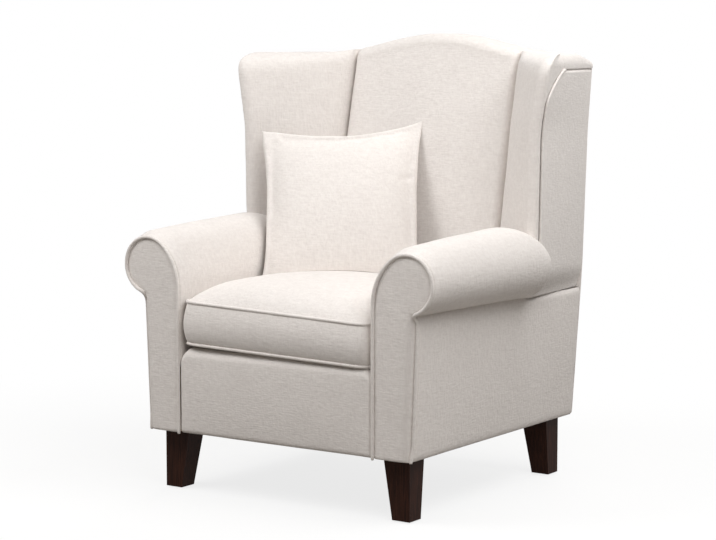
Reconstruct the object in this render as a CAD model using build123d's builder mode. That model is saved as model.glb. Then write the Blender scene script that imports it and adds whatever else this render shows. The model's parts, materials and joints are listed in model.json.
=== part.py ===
from build123d import *
from math import cos, hypot, pi, radians, sin, sqrt, tan
import os

# Wingback armchair. Millimetres, +Z up, the sitter faces -Y, left and right as seen from the front.
# The origin is on the floor under the middle of the chair.

# Overall
OVERALL_DEPTH = 800.0
CREST_HEIGHT = 1086.0
WING_HEIGHT = 1038.0
BACK_RAKE = radians(2.8)

# Base and its covering
LEG_HEIGHT = 145.0
SEAT_WIDTH = 544.0
ARM_BASE_WIDTH = 99.0
ARM_SEAM_WIDTH = 112.0
SEAM_DROP = 2.0
DUST_COVER_THICK = 1.2
SIDE_PANEL_THICK = 4.0
BACK_PANEL_THICK = 5.0
BORDER_THICK = 28.0
BORDER_TOP_ROUND = 24.0

# Rolled arms
ARM_HEIGHT = 608.0
SCROLL_RADIUS = 68.0
SCROLL_REACH = 94.5
SCROLL_RISE = 50.0
ARM_SWELL_FRONT = 5.0
ARM_SWELL_REAR = 11.0
ARM_LIFT_REAR = 16.0
ARM_WALL = 28.0
ARM_REAR_Y = 95.0
FACING_THICK = 12.5
FACING_SETBACK = 2.5
PIPING_RADIUS = 4.5

# Wings: how far the outer face stands out beyond the seam at four heights, at its front and rear edges
WING_STEP = 40.0
WING_BEND_HEIGHT = 860.0
WING_FRONT_FLARE = (18.0, 42.0, 48.0, 78.0)
WING_REAR_FLARE = (0.0, 2.0, 4.0, 12.0)
WING_FRONT_Y = 82.0
WING_NOSE_WIDTH = 30.0
WING_NOSE_DEPTH = 14.0
WING_CORNER_ROUND = 46.0
WING_INNER_BULGE = 10.0
WING_PANEL_THICK = 5.0
WING_PANEL_DROP = 35.0
WELT_RADIUS = 3.5
WELT_BEND_RADIUS = 200.0

# Inside back
BACK_INSET = 30.0
CREASE_Y = 205.0
CREASE_HEIGHT = 620.0
BACK_SLOPE = 0.208
BACK_BULGE = 14.0
CREST_SHOULDER = 88.0
CREST_ROUND = 30.0
CREST_PAD = 24.0
CREST_RAIL_DROP = 36.0

# Timber
BOARD_THICK = 25.0
PLY_THICK = 18.0
SIDE_RAIL_HEIGHT = 100.0
SEAT_RAIL_TOP = 328.0
POST_WIDTH = 40.0
POST_DEPTH = 45.0
POST_TOP = 1000.0
SCROLL_BOARD_INSET = 14.0
ARM_RAIL_WIDTH = 40.0
ARM_RAIL_THICK = 28.0
ARM_RAIL_DROP = 20.0
TACK_RAIL_HEIGHT = 45.0
TACK_RAIL_Z = 300.0
CREST_RAIL_Z = 925.0
LOWER_RAIL_Z = 400.0
LOWER_RAIL_HEIGHT = 50.0
WING_BOARD_INSET = 24.0
WING_BOARD_TOP = 1000.0
CORNER_BLOCK_LEG = 90.0
CORNER_BLOCK_HEIGHT = 45.0

# Suspension
SPRING_COUNT = 5
SPRING_SPACING = 95.0
SPRING_WIRE = 4.0
SPRING_LOOP_WIDTH = 44.0
SPRING_PITCH = 30.0
SPRING_BEND_SHARE = 0.45
CLIP_LENGTH = 18.0
CLIP_THICK = 2.0
DECK_THICK = 16.5
WEB_COUNT = 4
WEB_WIDTH = 50.0
WEB_THICK = 2.0
WEB_SPACING = 105.0
WEB_LOWEST_Z = 520.0

# Legs and their fittings
LEG_FOOT = 46.6
LEG_TOP_WIDTH = 70.0
LEG_TOP_DEPTH = 60.0
LEG_SIDE_INSET = 22.0
LEG_FRONT_INSET = 45.0
LEG_REAR_INSET = 36.0
GLIDE_RADIUS = 11.0
GLIDE_THICK = 3.0
BOLT_RADIUS = 4.0
BOLT_DEPTH_IN_LEG = 40.0
NUT_RADIUS = 9.5
NUT_THICK = 6.0
SCREW_RADIUS = 2.5
SCREW_LENGTH = 50.0
SCREW_SHARES = (0.25, 0.75)

# Loose seat cushion
CUSHION_GAP = 8.0
CUSHION_FRONT_SETBACK = 7.0
CUSHION_REAR_GAP = 9.0
CUSHION_BOX_HEIGHT = 98.0
CUSHION_CROWN = 46.0
CUSHION_CORNER = 34.0
CROWN_RISE_SHARE = 0.62
CROWN_SHOULDER = 72.0
CROWN_FLAT = 164.0
CUSHION_PIPING_RADIUS = 4.0
COVER_THICK = 2.0

# Loose scatter cushion
PILLOW_SIZE = 400.0
PILLOW_THICK = 130.0
PILLOW_CORNER = 16.0
PILLOW_BELLY_ROUND = 0.25
PILLOW_PROFILE_SHARES = ((0.0, 1.0), (0.3, 0.9), (0.72, 0.68), (1.0, 0.42))
PILLOW_FROM_ARM = 137.5
PILLOW_FROM_BACK = 136.0
PILLOW_RISE = 176.8
PILLOW_YAW = 27.6
PILLOW_RECLINE = 26.5
PILLOW_ROLL = 3.0

# Zip of the seat cushion's cover
ZIP_WIDTH = 26.0
ZIP_THICK = 1.2
ZIP_COIL_WIDTH = 6.0
ZIP_COIL_THICK = 2.0
ZIP_END_MARGIN = 48.0
SLIDER_LENGTH = 11.0
SLIDER_WIDTH = 9.0
SLIDER_THICK = 3.5
TAB_LENGTH = 22.0
TAB_WIDTH = 6.0
TAB_THICK = 1.5

# Fit between pieces that do not touch
CLEARANCE = 0.3

# Values that follow from the sizes above
FRONT_Y = -OVERALL_DEPTH / 2
PIPING_Y = FRONT_Y + PIPING_RADIUS
FACING_FRONT_Y = FRONT_Y + FACING_SETBACK
SCROLL_BOARD_Y = FACING_FRONT_Y + FACING_THICK
FRONT_RAIL_Y = SCROLL_BOARD_Y + PLY_THICK
ARM_FRONT_Y = PIPING_Y + PIPING_RADIUS
BORDER_FRONT_Y = FRONT_RAIL_Y - BORDER_THICK
SEAT_HALF = SEAT_WIDTH / 2
BASE_HALF = SEAT_HALF + ARM_BASE_WIDTH
SEAM_HALF = SEAT_HALF + ARM_SEAM_WIDTH
SCROLL_HALF_SPAN = SEAT_HALF + SCROLL_REACH
BACK_HALF_WIDTH = SEAT_HALF - BACK_INSET
CREST_HALF_SPAN = BACK_HALF_WIDTH + CREST_SHOULDER
WING_FRONT_HALF = [SEAM_HALF + flare for flare in WING_FRONT_FLARE]
WING_REAR_HALF = [SEAM_HALF + flare for flare in WING_REAR_FLARE]
TIMBER_Z = LEG_HEIGHT + DUST_COVER_THICK
TIMBER_HALF = BASE_HALF - SIDE_PANEL_THICK
SCROLL_Z = ARM_HEIGHT - SCROLL_RADIUS
SEAM_HEIGHT = SCROLL_Z - SCROLL_RADIUS - SEAM_DROP
WING_STEP_HEIGHT = SEAM_HEIGHT + WING_STEP
ARM_RAIL_Z = SCROLL_Z - ARM_RAIL_DROP
PANEL_TOP_Z = CREST_HEIGHT - CREST_PAD
POST_INNER = TIMBER_HALF - POST_WIDTH
POST_FRONT = BACK_PANEL_THICK + POST_DEPTH
SPRING_Z = SEAT_RAIL_TOP + CLIP_THICK + SPRING_WIRE / 2
DECK_Z = SPRING_Z + SPRING_WIRE / 2 + CLEARANCE
DECK_TOP = DECK_Z + DECK_THICK
CUSHION_Z = DECK_TOP + CLEARANCE
CUSHION_TOP = CUSHION_Z + CUSHION_BOX_HEIGHT
PILLOW_CENTRE = (PILLOW_FROM_ARM - SEAT_HALF, CREASE_Y - PILLOW_FROM_BACK,
                 CUSHION_TOP + CUSHION_CROWN + PILLOW_RISE)
ARM_RAIL_TOP = ARM_RAIL_Z + ARM_RAIL_THICK
WING_HEIGHTS = (SEAM_HEIGHT, WING_STEP_HEIGHT, WING_BEND_HEIGHT, WING_HEIGHT)
WING_PANEL_TOP = WING_HEIGHT - WING_PANEL_DROP
LEG_OUTER = BASE_HALF - LEG_SIDE_INSET
FAR = 2000.0

os.makedirs("parts", exist_ok=True)


def keep(builder, name):
    """Label one finished piece and write it."""
    builder.part.label = name
    export_step(builder.part, f"parts/{name}.step")


def keep_pair(builder, name):
    """Write a right-hand piece and its mirror image on the left."""
    keep(builder, f"{name}_right")
    with BuildPart() as left:
        mirror(builder.part, about=Plane.YZ)
    keep(left, f"{name}_left")


def rear_y(z):
    """Outer face of the outside back at height z."""
    return OVERALL_DEPTH / 2 - (PANEL_TOP_Z - z) * tan(BACK_RAKE)


def up_slope(z, depth=0.0):
    """Distance along the raked back for a height z, at a depth in front of its outer face."""
    return (z - depth * sin(BACK_RAKE)) / cos(BACK_RAKE)


def between(z, heights, values):
    """Straight-line value at height z in a short table."""
    for low in range(len(heights) - 1):
        if z <= heights[low + 1] or low == len(heights) - 2:
            share = (z - heights[low]) / (heights[low + 1] - heights[low])
            return values[low] + share * (values[low + 1] - values[low])


def side_half(z):
    """Half width of the outside back at height z."""
    if z <= SEAM_HEIGHT:
        return between(z, (LEG_HEIGHT, SEAM_HEIGHT), (BASE_HALF, SEAM_HALF))
    return between(z, WING_HEIGHTS, WING_REAR_HALF)


def crest_z(x):
    """Camel-back top line: high in the middle, level at the wings."""
    if abs(x) >= CREST_HALF_SPAN:
        return WING_HEIGHT
    return WING_HEIGHT + (CREST_HEIGHT - WING_HEIGHT) * cos(pi * x / (2 * CREST_HALF_SPAN)) ** 2


def crease_y(z):
    """Front of the inside back at height z, where it meets the wings."""
    return CREASE_Y + BACK_SLOPE * (z - CREASE_HEIGHT)


# The raked plane of the outside back: local x across, local y up the slope, normal to the front
RAKED = Plane(
    origin=(0, rear_y(0), 0),
    x_dir=(1, 0, 0),
    z_dir=(0, -cos(BACK_RAKE), sin(BACK_RAKE)),
)


def front_view(y):
    """Plane across the chair at depth y, seen from the front."""
    return Plane.XZ.offset(-y)


def arm_scroll(inset, lift=0.0, bottom=LEG_HEIGHT):
    """Points and arcs of the scroll: up the inside, round the roll, to the seam on the outside.

    Runs inside a BuildLine block and returns the two ends of the open line.
    """
    inner = SEAT_HALF + max(inset, 0.0)
    centre_z = SCROLL_Z + lift
    radius = SCROLL_RADIUS - inset
    reach = SCROLL_HALF_SPAN - inner
    blend = (reach ** 2 + SCROLL_RISE ** 2 - radius ** 2) / (2 * (reach - radius))
    blend_centre = (inner + blend, centre_z - SCROLL_RISE)
    way = (SCROLL_HALF_SPAN - blend_centre[0], SCROLL_RISE)
    length = hypot(*way)
    meet = (
        SCROLL_HALF_SPAN + radius * way[0] / length,
        centre_z + radius * way[1] / length,
    )
    halfway = (way[0] / length - 1, way[1] / length)
    middle = (
        blend_centre[0] + blend * halfway[0] / hypot(*halfway),
        blend_centre[1] + blend * halfway[1] / hypot(*halfway),
    )
    seam_x = SEAM_HALF - max(inset, 0.0)
    seam_z = centre_z - sqrt(radius ** 2 - (seam_x - SCROLL_HALF_SPAN) ** 2)
    Line((inner, bottom), (inner, centre_z - SCROLL_RISE))
    ThreePointArc((inner, centre_z - SCROLL_RISE), middle, meet)
    ThreePointArc(meet, (SCROLL_HALF_SPAN + radius, centre_z), (seam_x, seam_z))
    return (inner, bottom), (seam_x, seam_z)


def scroll_face(y, inset):
    """Whole arm front, from the floor of the base to the top of the roll."""
    with BuildSketch(front_view(y)) as face:
        with BuildLine():
            start, seam = arm_scroll(inset)
            Polyline(seam, (BASE_HALF - inset, LEG_HEIGHT), start)
        make_face()
    return face.sketch


def arm_section(y, swell, lift):
    """Padding of the arm across its length: inner wall, roll and the lip over the side panel."""
    with BuildSketch(front_view(y)) as face:
        with BuildLine():
            start, seam = arm_scroll(-swell, lift, bottom=TACK_RAIL_Z)
            Polyline(
                seam,
                (TIMBER_HALF, seam[1]),
                (TIMBER_HALF, ARM_RAIL_Z),
                (SEAT_HALF + ARM_WALL, ARM_RAIL_Z),
                (SEAT_HALF + ARM_WALL, TACK_RAIL_Z),
                start,
            )
        make_face()
    return face.sketch


def wing_front(z, inset=0.0):
    """Outer front corner of the wing in plan."""
    return (between(z, WING_HEIGHTS, WING_FRONT_HALF) - inset, WING_FRONT_Y)


def wing_rear(z, inset=0.0):
    """Outer rear corner of the wing in plan, where it meets the outside back panel."""
    return (
        between(z, WING_HEIGHTS, WING_REAR_HALF) - inset,
        rear_y(z) - BACK_PANEL_THICK / cos(BACK_RAKE),
    )


def wing_section(z):
    """Padded wing in plan: crease, gently full inner face, round nose, straight outer face."""
    outer_front = wing_front(z, WING_PANEL_THICK)
    outer_rear = wing_rear(z, WING_PANEL_THICK)
    nose = (outer_front[0] - WING_NOSE_WIDTH / 2, WING_FRONT_Y - WING_NOSE_DEPTH)
    nose_end = (outer_front[0] - WING_NOSE_WIDTH, WING_FRONT_Y - WING_NOSE_DEPTH / 3)
    crease = (BACK_HALF_WIDTH, crease_y(z))
    span = (nose_end[0] - crease[0], nose_end[1] - crease[1])
    length = hypot(*span)
    middle = (
        (nose_end[0] + crease[0]) / 2 + WING_INNER_BULGE * span[1] / length,
        (nose_end[1] + crease[1]) / 2 - WING_INNER_BULGE * span[0] / length,
    )
    with BuildSketch(Plane.XY.offset(z)) as face:
        with BuildLine():
            ThreePointArc(outer_front, nose, nose_end)
            ThreePointArc(nose_end, middle, crease)
            Polyline(crease, (BACK_HALF_WIDTH, outer_rear[1]), outer_rear, outer_front)
        make_face()
    return face.sketch


def wing_strip(z, outer, thick, front_gap, rear_gap):
    """Thin slice of the wing's outer face in plan, for a panel or a board."""
    front_out = wing_front(z, outer)
    front_in = wing_front(z, outer + thick)
    rear_out = wing_rear(z, outer)
    rear_in = wing_rear(z, outer + thick)
    with BuildSketch(Plane.XY.offset(z)) as face:
        with BuildLine():
            Polyline(
                (front_out[0], front_out[1] + front_gap),
                (rear_out[0], rear_out[1] - rear_gap),
                (rear_in[0], rear_in[1] - rear_gap),
                (front_in[0], front_in[1] + front_gap),
                close=True,
            )
        make_face()
    return face.sketch


def crest_outline(half_width, bottom, drop):
    """Front outline with the camel-back top, lowered by drop; runs inside a BuildLine block."""
    shares = (-1.0, -0.6, -0.3, 0.0, 0.3, 0.6, 1.0)
    top = [(half_width * share, up_slope(crest_z(half_width * share) - drop)) for share in shares]
    Spline(*top)
    Polyline(top[-1], (half_width, up_slope(bottom)), (-half_width, up_slope(bottom)), top[0])


def leg_places():
    """Outer corner of each leg with its side signs and name."""
    front = FRONT_Y + LEG_FRONT_INSET
    rear = rear_y(LEG_HEIGHT) - LEG_REAR_INSET
    for across, side in ((1, "right"), (-1, "left")):
        yield across, 1, front, f"leg_front_{side}"
        yield across, -1, rear, f"leg_rear_{side}"


def leg_axis(across, along, corner_y):
    """Plan position of the bolt in the middle of a leg's top."""
    return (across * (LEG_OUTER - LEG_TOP_WIDTH / 2), corner_y + along * LEG_TOP_DEPTH / 2)


LEG_AXES = [leg_axis(across, along, corner_y) for across, along, corner_y, name in leg_places()]


# Timber frame, with the screws that hold the front rail to the side rails
SCREW_X = TIMBER_HALF - BOARD_THICK / 2
SCREW_PLACES = [
    (across * SCREW_X, TIMBER_Z + share * SIDE_RAIL_HEIGHT)
    for across in (1, -1)
    for share in SCREW_SHARES
]

with BuildPart() as frame_screws:
    with BuildSketch(front_view(FRONT_RAIL_Y)):
        with Locations(*SCREW_PLACES):
            Circle(SCREW_RADIUS)
    extrude(amount=-SCREW_LENGTH)
keep(frame_screws, "frame_screws")

with BuildPart() as front_rail:
    with BuildSketch(front_view(FRONT_RAIL_Y)):
        with Locations((0, (TIMBER_Z + SEAT_RAIL_TOP) / 2)):
            Rectangle(2 * TIMBER_HALF, SEAT_RAIL_TOP - TIMBER_Z)
    extrude(amount=-BOARD_THICK)
    add(frame_screws.part, mode=Mode.SUBTRACT)
keep(front_rail, "front_rail")

POST_FOOT = TIMBER_Z + POST_DEPTH * sin(BACK_RAKE)

with BuildPart() as rear_rail:
    rear_rail_top = up_slope(SEAT_RAIL_TOP, BACK_PANEL_THICK + BOARD_THICK)
    with BuildSketch(RAKED.offset(BACK_PANEL_THICK)):
        with Locations((0, (POST_FOOT + rear_rail_top) / 2)):
            Rectangle(2 * POST_INNER, rear_rail_top - POST_FOOT)
    extrude(amount=BOARD_THICK)
keep(rear_rail, "rear_rail")

with BuildPart() as back_post:
    with BuildSketch(RAKED.offset(BACK_PANEL_THICK)):
        with Locations((TIMBER_HALF - POST_WIDTH / 2, (POST_FOOT + POST_TOP) / 2)):
            Rectangle(POST_WIDTH, POST_TOP - POST_FOOT)
    extrude(amount=POST_DEPTH)
keep_pair(back_post, "back_post")

with BuildPart() as side_rail:
    with BuildSketch(front_view(FRONT_RAIL_Y + BOARD_THICK)):
        with Locations((TIMBER_HALF - BOARD_THICK / 2, TIMBER_Z + SIDE_RAIL_HEIGHT / 2)):
            Rectangle(BOARD_THICK, SIDE_RAIL_HEIGHT)
    extrude(amount=-OVERALL_DEPTH)
    split(bisect_by=RAKED.offset(POST_FRONT), keep=Keep.TOP)
    add(frame_screws.part, mode=Mode.SUBTRACT)
keep_pair(side_rail, "side_rail")

POST_FOOT_FRONT_Y = rear_y(TIMBER_Z) - POST_FRONT / cos(BACK_RAKE)

with BuildPart() as corner_blocks:
    front_corner = FRONT_RAIL_Y + BOARD_THICK
    inner_side = TIMBER_HALF - BOARD_THICK
    for across in (1, -1):
        for along, corner_y in ((1, front_corner), (-1, POST_FOOT_FRONT_Y)):
            side_x = across * inner_side
            mid_x = across * (inner_side - CORNER_BLOCK_LEG / 2)
            far_x = across * (inner_side - CORNER_BLOCK_LEG)
            mid_y = corner_y + along * CORNER_BLOCK_LEG / 2
            far_y = corner_y + along * CORNER_BLOCK_LEG
            outline = ((side_x, corner_y), (side_x, far_y), (mid_x, far_y), (far_x, mid_y), (far_x, corner_y))
            with BuildSketch(Plane.XY.offset(TIMBER_Z)):
                with BuildLine():
                    Polyline(*outline, close=True)
                make_face()
            extrude(amount=CORNER_BLOCK_HEIGHT)
    with Locations(*[(x, y, TIMBER_Z) for x, y in LEG_AXES]):
        Cylinder(BOLT_RADIUS, 4 * CORNER_BLOCK_HEIGHT, mode=Mode.SUBTRACT)
keep(corner_blocks, "corner_blocks")

with BuildPart() as scroll_board:
    extrude(scroll_face(SCROLL_BOARD_Y, SCROLL_BOARD_INSET), amount=-PLY_THICK)
keep_pair(scroll_board, "scroll_board")

with BuildPart() as arm_rail:
    with BuildSketch(front_view(FRONT_RAIL_Y)):
        with Locations((TIMBER_HALF - ARM_RAIL_WIDTH / 2, ARM_RAIL_Z + ARM_RAIL_THICK / 2)):
            Rectangle(ARM_RAIL_WIDTH, ARM_RAIL_THICK)
    extrude(amount=-OVERALL_DEPTH)
    split(bisect_by=RAKED.offset(POST_FRONT), keep=Keep.TOP)
keep_pair(arm_rail, "arm_rail")

with BuildPart() as arm_tack_rail:
    with BuildSketch(front_view(FRONT_RAIL_Y + BOARD_THICK)):
        with Locations((SEAT_HALF + ARM_WALL + BOARD_THICK / 2, TACK_RAIL_Z + TACK_RAIL_HEIGHT / 2)):
            Rectangle(BOARD_THICK, TACK_RAIL_HEIGHT)
    extrude(amount=-OVERALL_DEPTH)
    split(bisect_by=RAKED.offset(POST_FRONT), keep=Keep.TOP)
keep_pair(arm_tack_rail, "arm_tack_rail")

with BuildPart() as crest_rail:
    with BuildSketch(RAKED.offset(BACK_PANEL_THICK)):
        with BuildLine():
            crest_outline(POST_INNER, CREST_RAIL_Z, CREST_RAIL_DROP)
        make_face()
    extrude(amount=BOARD_THICK)
keep(crest_rail, "crest_rail")

with BuildPart() as back_lower_rail:
    with BuildSketch(RAKED.offset(BACK_PANEL_THICK)):
        with Locations((0, LOWER_RAIL_Z + LOWER_RAIL_HEIGHT / 2)):
            Rectangle(2 * POST_INNER, LOWER_RAIL_HEIGHT)
    extrude(amount=BOARD_THICK)
keep(back_lower_rail, "back_lower_rail")

with BuildPart() as wing_board:
    board_rear_gap = POST_DEPTH / cos(BACK_RAKE)
    loft(
        [
            wing_strip(z, WING_BOARD_INSET, PLY_THICK, BOARD_THICK, board_rear_gap)
            for z in (ARM_RAIL_TOP, WING_BOARD_TOP)
        ],
        ruled=True,
    )
keep_pair(wing_board, "wing_board")

# Suspension: zig-zag springs over the seat, elastic webbing across the back
SPRING_START_Y = FRONT_RAIL_Y + BOARD_THICK / 2
SPRING_END_Y = rear_y(SPRING_Z) - BACK_PANEL_THICK - BOARD_THICK / 2
SPRING_PLACES = [(index - (SPRING_COUNT - 1) / 2) * SPRING_SPACING for index in range(SPRING_COUNT)]


def spring_route(x):
    """Corners of one zig-zag spring from the front rail to the rear rail."""
    runs = int((SPRING_END_Y - SPRING_START_Y) / SPRING_PITCH)
    pitch = (SPRING_END_Y - SPRING_START_Y) / runs
    half = SPRING_LOOP_WIDTH / 2
    corners = []
    for run in range(runs + 1):
        y = SPRING_START_Y + run * pitch
        first, second = (-half, half) if run % 2 == 0 else (half, -half)
        corners += [(x + first, y), (x + second, y)]
    return corners, SPRING_BEND_SHARE * pitch


with BuildPart() as seat_springs:
    for x in SPRING_PLACES:
        corners, bend = spring_route(x)
        with BuildLine(Plane.XY.offset(SPRING_Z)) as route:
            FilletPolyline(*corners, radius=bend)
        with BuildSketch(Plane((*corners[0], SPRING_Z), x_dir=(0, 1, 0), z_dir=(1, 0, 0))) as wire:
            Circle(SPRING_WIRE / 2)
        sweep(wire.sketch, path=route.wire())
keep(seat_springs, "seat_springs")

with BuildPart() as spring_clips:
    clip_places = [(x, y) for x in SPRING_PLACES for y in (SPRING_START_Y, SPRING_END_Y)]
    with BuildSketch(Plane.XY.offset(SEAT_RAIL_TOP)):
        with Locations(*clip_places):
            Rectangle(SPRING_LOOP_WIDTH / 2, CLIP_LENGTH)
    extrude(amount=CLIP_THICK)
keep(spring_clips, "spring_clips")

with BuildPart() as back_webbing:
    strap_places = [(0, up_slope(WEB_LOWEST_Z + index * WEB_SPACING)) for index in range(WEB_COUNT)]
    with BuildSketch(RAKED.offset(POST_FRONT - WEB_THICK)):
        with Locations(*strap_places):
            Rectangle(2 * POST_INNER, WEB_WIDTH)
    extrude(amount=WEB_THICK)
keep(back_webbing, "back_webbing")

# Hollow between the webbing and the outside back, kept free of padding
with BuildPart() as back_hollow:
    with BuildSketch(RAKED.offset(BACK_PANEL_THICK)):
        with Locations((0, (DECK_TOP + CREST_RAIL_Z) / 2)):
            Rectangle(2 * POST_INNER, CREST_RAIL_Z - DECK_TOP)
    extrude(amount=POST_DEPTH)

DECK_REAR_Y = rear_y(DECK_Z) - (BACK_PANEL_THICK + BOARD_THICK) / cos(BACK_RAKE) - CLEARANCE

with BuildPart() as seat_deck:
    with BuildSketch(Plane.XY.offset(DECK_Z)):
        with Locations((0, (FRONT_RAIL_Y + DECK_REAR_Y) / 2)):
            Rectangle(SEAT_WIDTH - 2 * CLEARANCE, DECK_REAR_Y - FRONT_RAIL_Y)
    extrude(amount=DECK_THICK)
keep(seat_deck, "seat_deck")

with BuildPart() as dust_cover:
    cover_rear_y = rear_y(LEG_HEIGHT) - BACK_PANEL_THICK / cos(BACK_RAKE)
    with BuildSketch(Plane.XY.offset(LEG_HEIGHT)):
        with Locations((0, (FRONT_RAIL_Y + cover_rear_y) / 2)):
            Rectangle(2 * TIMBER_HALF, cover_rear_y - FRONT_RAIL_Y)
        with Locations(*LEG_AXES):
            Circle(BOLT_RADIUS, mode=Mode.SUBTRACT)
    extrude(amount=DUST_COVER_THICK)
keep(dust_cover, "dust_cover")

# Tapered square legs, each with a blind hole for its bolt
for across, along, corner_y, name in leg_places():
    with BuildPart() as leg:
        outer_x = across * LEG_OUTER
        with BuildSketch(Plane.XY.offset(GLIDE_THICK)) as foot:
            with Locations((outer_x - across * LEG_FOOT / 2, corner_y + along * LEG_FOOT / 2)):
                Rectangle(LEG_FOOT, LEG_FOOT)
        with BuildSketch(Plane.XY.offset(LEG_HEIGHT)) as top:
            with Locations((outer_x - across * LEG_TOP_WIDTH / 2, corner_y + along * LEG_TOP_DEPTH / 2)):
                Rectangle(LEG_TOP_WIDTH, LEG_TOP_DEPTH)
        loft([foot.sketch, top.sketch], ruled=True)
        with Locations((*leg_axis(across, along, corner_y), LEG_HEIGHT - BOLT_DEPTH_IN_LEG / 2)):
            Cylinder(BOLT_RADIUS, BOLT_DEPTH_IN_LEG, mode=Mode.SUBTRACT)
    keep(leg, name)

NUT_Z = TIMBER_Z + CORNER_BLOCK_HEIGHT

with BuildPart() as leg_bolts:
    with BuildSketch(Plane.XY.offset(LEG_HEIGHT - BOLT_DEPTH_IN_LEG)):
        with Locations(*LEG_AXES):
            Circle(BOLT_RADIUS)
    extrude(amount=NUT_Z + NUT_THICK + BOLT_RADIUS - LEG_HEIGHT + BOLT_DEPTH_IN_LEG)
keep(leg_bolts, "leg_bolts")

with BuildPart() as leg_nuts:
    with BuildSketch(Plane.XY.offset(NUT_Z)):
        with Locations(*LEG_AXES):
            RegularPolygon(NUT_RADIUS, 6)
            Circle(BOLT_RADIUS, mode=Mode.SUBTRACT)
    extrude(amount=NUT_THICK)
keep(leg_nuts, "leg_nuts")

with BuildPart() as leg_glides:
    for across, along, corner_y, name in leg_places():
        with BuildSketch():
            with Locations((across * (LEG_OUTER - LEG_FOOT / 2), corner_y + along * LEG_FOOT / 2)):
                Circle(GLIDE_RADIUS)
        extrude(amount=GLIDE_THICK)
keep(leg_glides, "leg_glides")

# Covering of the base
with BuildPart() as front_border:
    with BuildSketch(Plane.YZ.offset(-SEAT_HALF + CLEARANCE)) as border_side:
        with BuildLine():
            border_top = CUSHION_Z - CLEARANCE
            Polyline(
                (FRONT_RAIL_Y, border_top),
                (FRONT_RAIL_Y, LEG_HEIGHT),
                (BORDER_FRONT_Y, LEG_HEIGHT),
                (BORDER_FRONT_Y, border_top - BORDER_TOP_ROUND),
            )
            RadiusArc(
                (BORDER_FRONT_Y, border_top - BORDER_TOP_ROUND),
                (BORDER_FRONT_Y + BORDER_TOP_ROUND, border_top),
                BORDER_TOP_ROUND,
            )
            Line((BORDER_FRONT_Y + BORDER_TOP_ROUND, border_top), (FRONT_RAIL_Y, border_top))
        make_face()
    extrude(amount=SEAT_WIDTH - 2 * CLEARANCE)
keep(front_border, "front_border")

# Arms: upholstered front facing, piping round it, padding behind it
with BuildPart() as arm_facing:
    extrude(scroll_face(FACING_FRONT_Y, 2 * PIPING_RADIUS), amount=-FACING_THICK)
keep_pair(arm_facing, "arm_facing")

with BuildPart() as arm_piping:
    with BuildLine(front_view(PIPING_Y)) as scroll_route:
        piping_start, piping_seam = arm_scroll(PIPING_RADIUS)
    with BuildSketch(Plane((piping_start[0], PIPING_Y, piping_start[1]))) as scroll_end:
        Circle(PIPING_RADIUS)
    sweep(scroll_end.sketch, path=scroll_route.wire())
    with BuildLine(front_view(PIPING_Y)) as outer_route:
        Line((BASE_HALF - PIPING_RADIUS, LEG_HEIGHT), piping_seam)
    with BuildSketch(Plane(outer_route.wire() @ 0, z_dir=outer_route.wire() % 0)) as outer_end:
        Circle(PIPING_RADIUS)
    sweep(outer_end.sketch, path=outer_route.wire())
keep_pair(arm_piping, "arm_piping")

with BuildPart() as arm_pad:
    loft(
        [
            arm_section(ARM_FRONT_Y, ARM_SWELL_FRONT, 0.0),
            arm_section(ARM_REAR_Y, ARM_SWELL_REAR, ARM_LIFT_REAR),
        ],
        ruled=True,
    )
    with BuildSketch(front_view(ARM_REAR_Y)):
        with Locations((SEAT_HALF + ARM_WALL / 2, (TACK_RAIL_Z + ARM_RAIL_TOP) / 2)):
            Rectangle(ARM_WALL, ARM_RAIL_TOP - TACK_RAIL_Z)
    extrude(amount=-OVERALL_DEPTH)
    split(bisect_by=RAKED.offset(POST_FRONT), keep=Keep.TOP)
    for piece in (arm_facing, scroll_board, front_rail, arm_rail, arm_piping):
        add(piece.part, mode=Mode.SUBTRACT)
keep_pair(arm_pad, "arm_pad")

# Flat outside panels of the base
with BuildPart() as side_panel:
    panel_faces = []
    for y, seam_z in (
        (ARM_FRONT_Y, SCROLL_Z - SCROLL_RADIUS - ARM_SWELL_FRONT),
        (ARM_REAR_Y, SCROLL_Z - SCROLL_RADIUS - ARM_SWELL_REAR + ARM_LIFT_REAR),
    ):
        with BuildSketch(front_view(y)) as face:
            with BuildLine():
                Polyline(
                    (BASE_HALF, LEG_HEIGHT),
                    (side_half(seam_z), seam_z),
                    (side_half(seam_z) - SIDE_PANEL_THICK, seam_z),
                    (BASE_HALF - SIDE_PANEL_THICK, LEG_HEIGHT),
                    close=True,
                )
            make_face()
        panel_faces.append(face.sketch)
    loft(panel_faces, ruled=True)
    with BuildSketch(front_view(ARM_REAR_Y)) as rear_face:
        with BuildLine():
            Polyline(
                (BASE_HALF, LEG_HEIGHT),
                (SEAM_HALF, SEAM_HEIGHT),
                (SEAM_HALF - SIDE_PANEL_THICK, SEAM_HEIGHT),
                (BASE_HALF - SIDE_PANEL_THICK, LEG_HEIGHT),
                close=True,
            )
        make_face()
    extrude(rear_face.sketch, amount=-OVERALL_DEPTH)
    split(bisect_by=RAKED.offset(BACK_PANEL_THICK), keep=Keep.TOP)
    for piece in (scroll_board, arm_pad):
        add(piece.part, mode=Mode.SUBTRACT)
keep_pair(side_panel, "side_panel")

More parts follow.
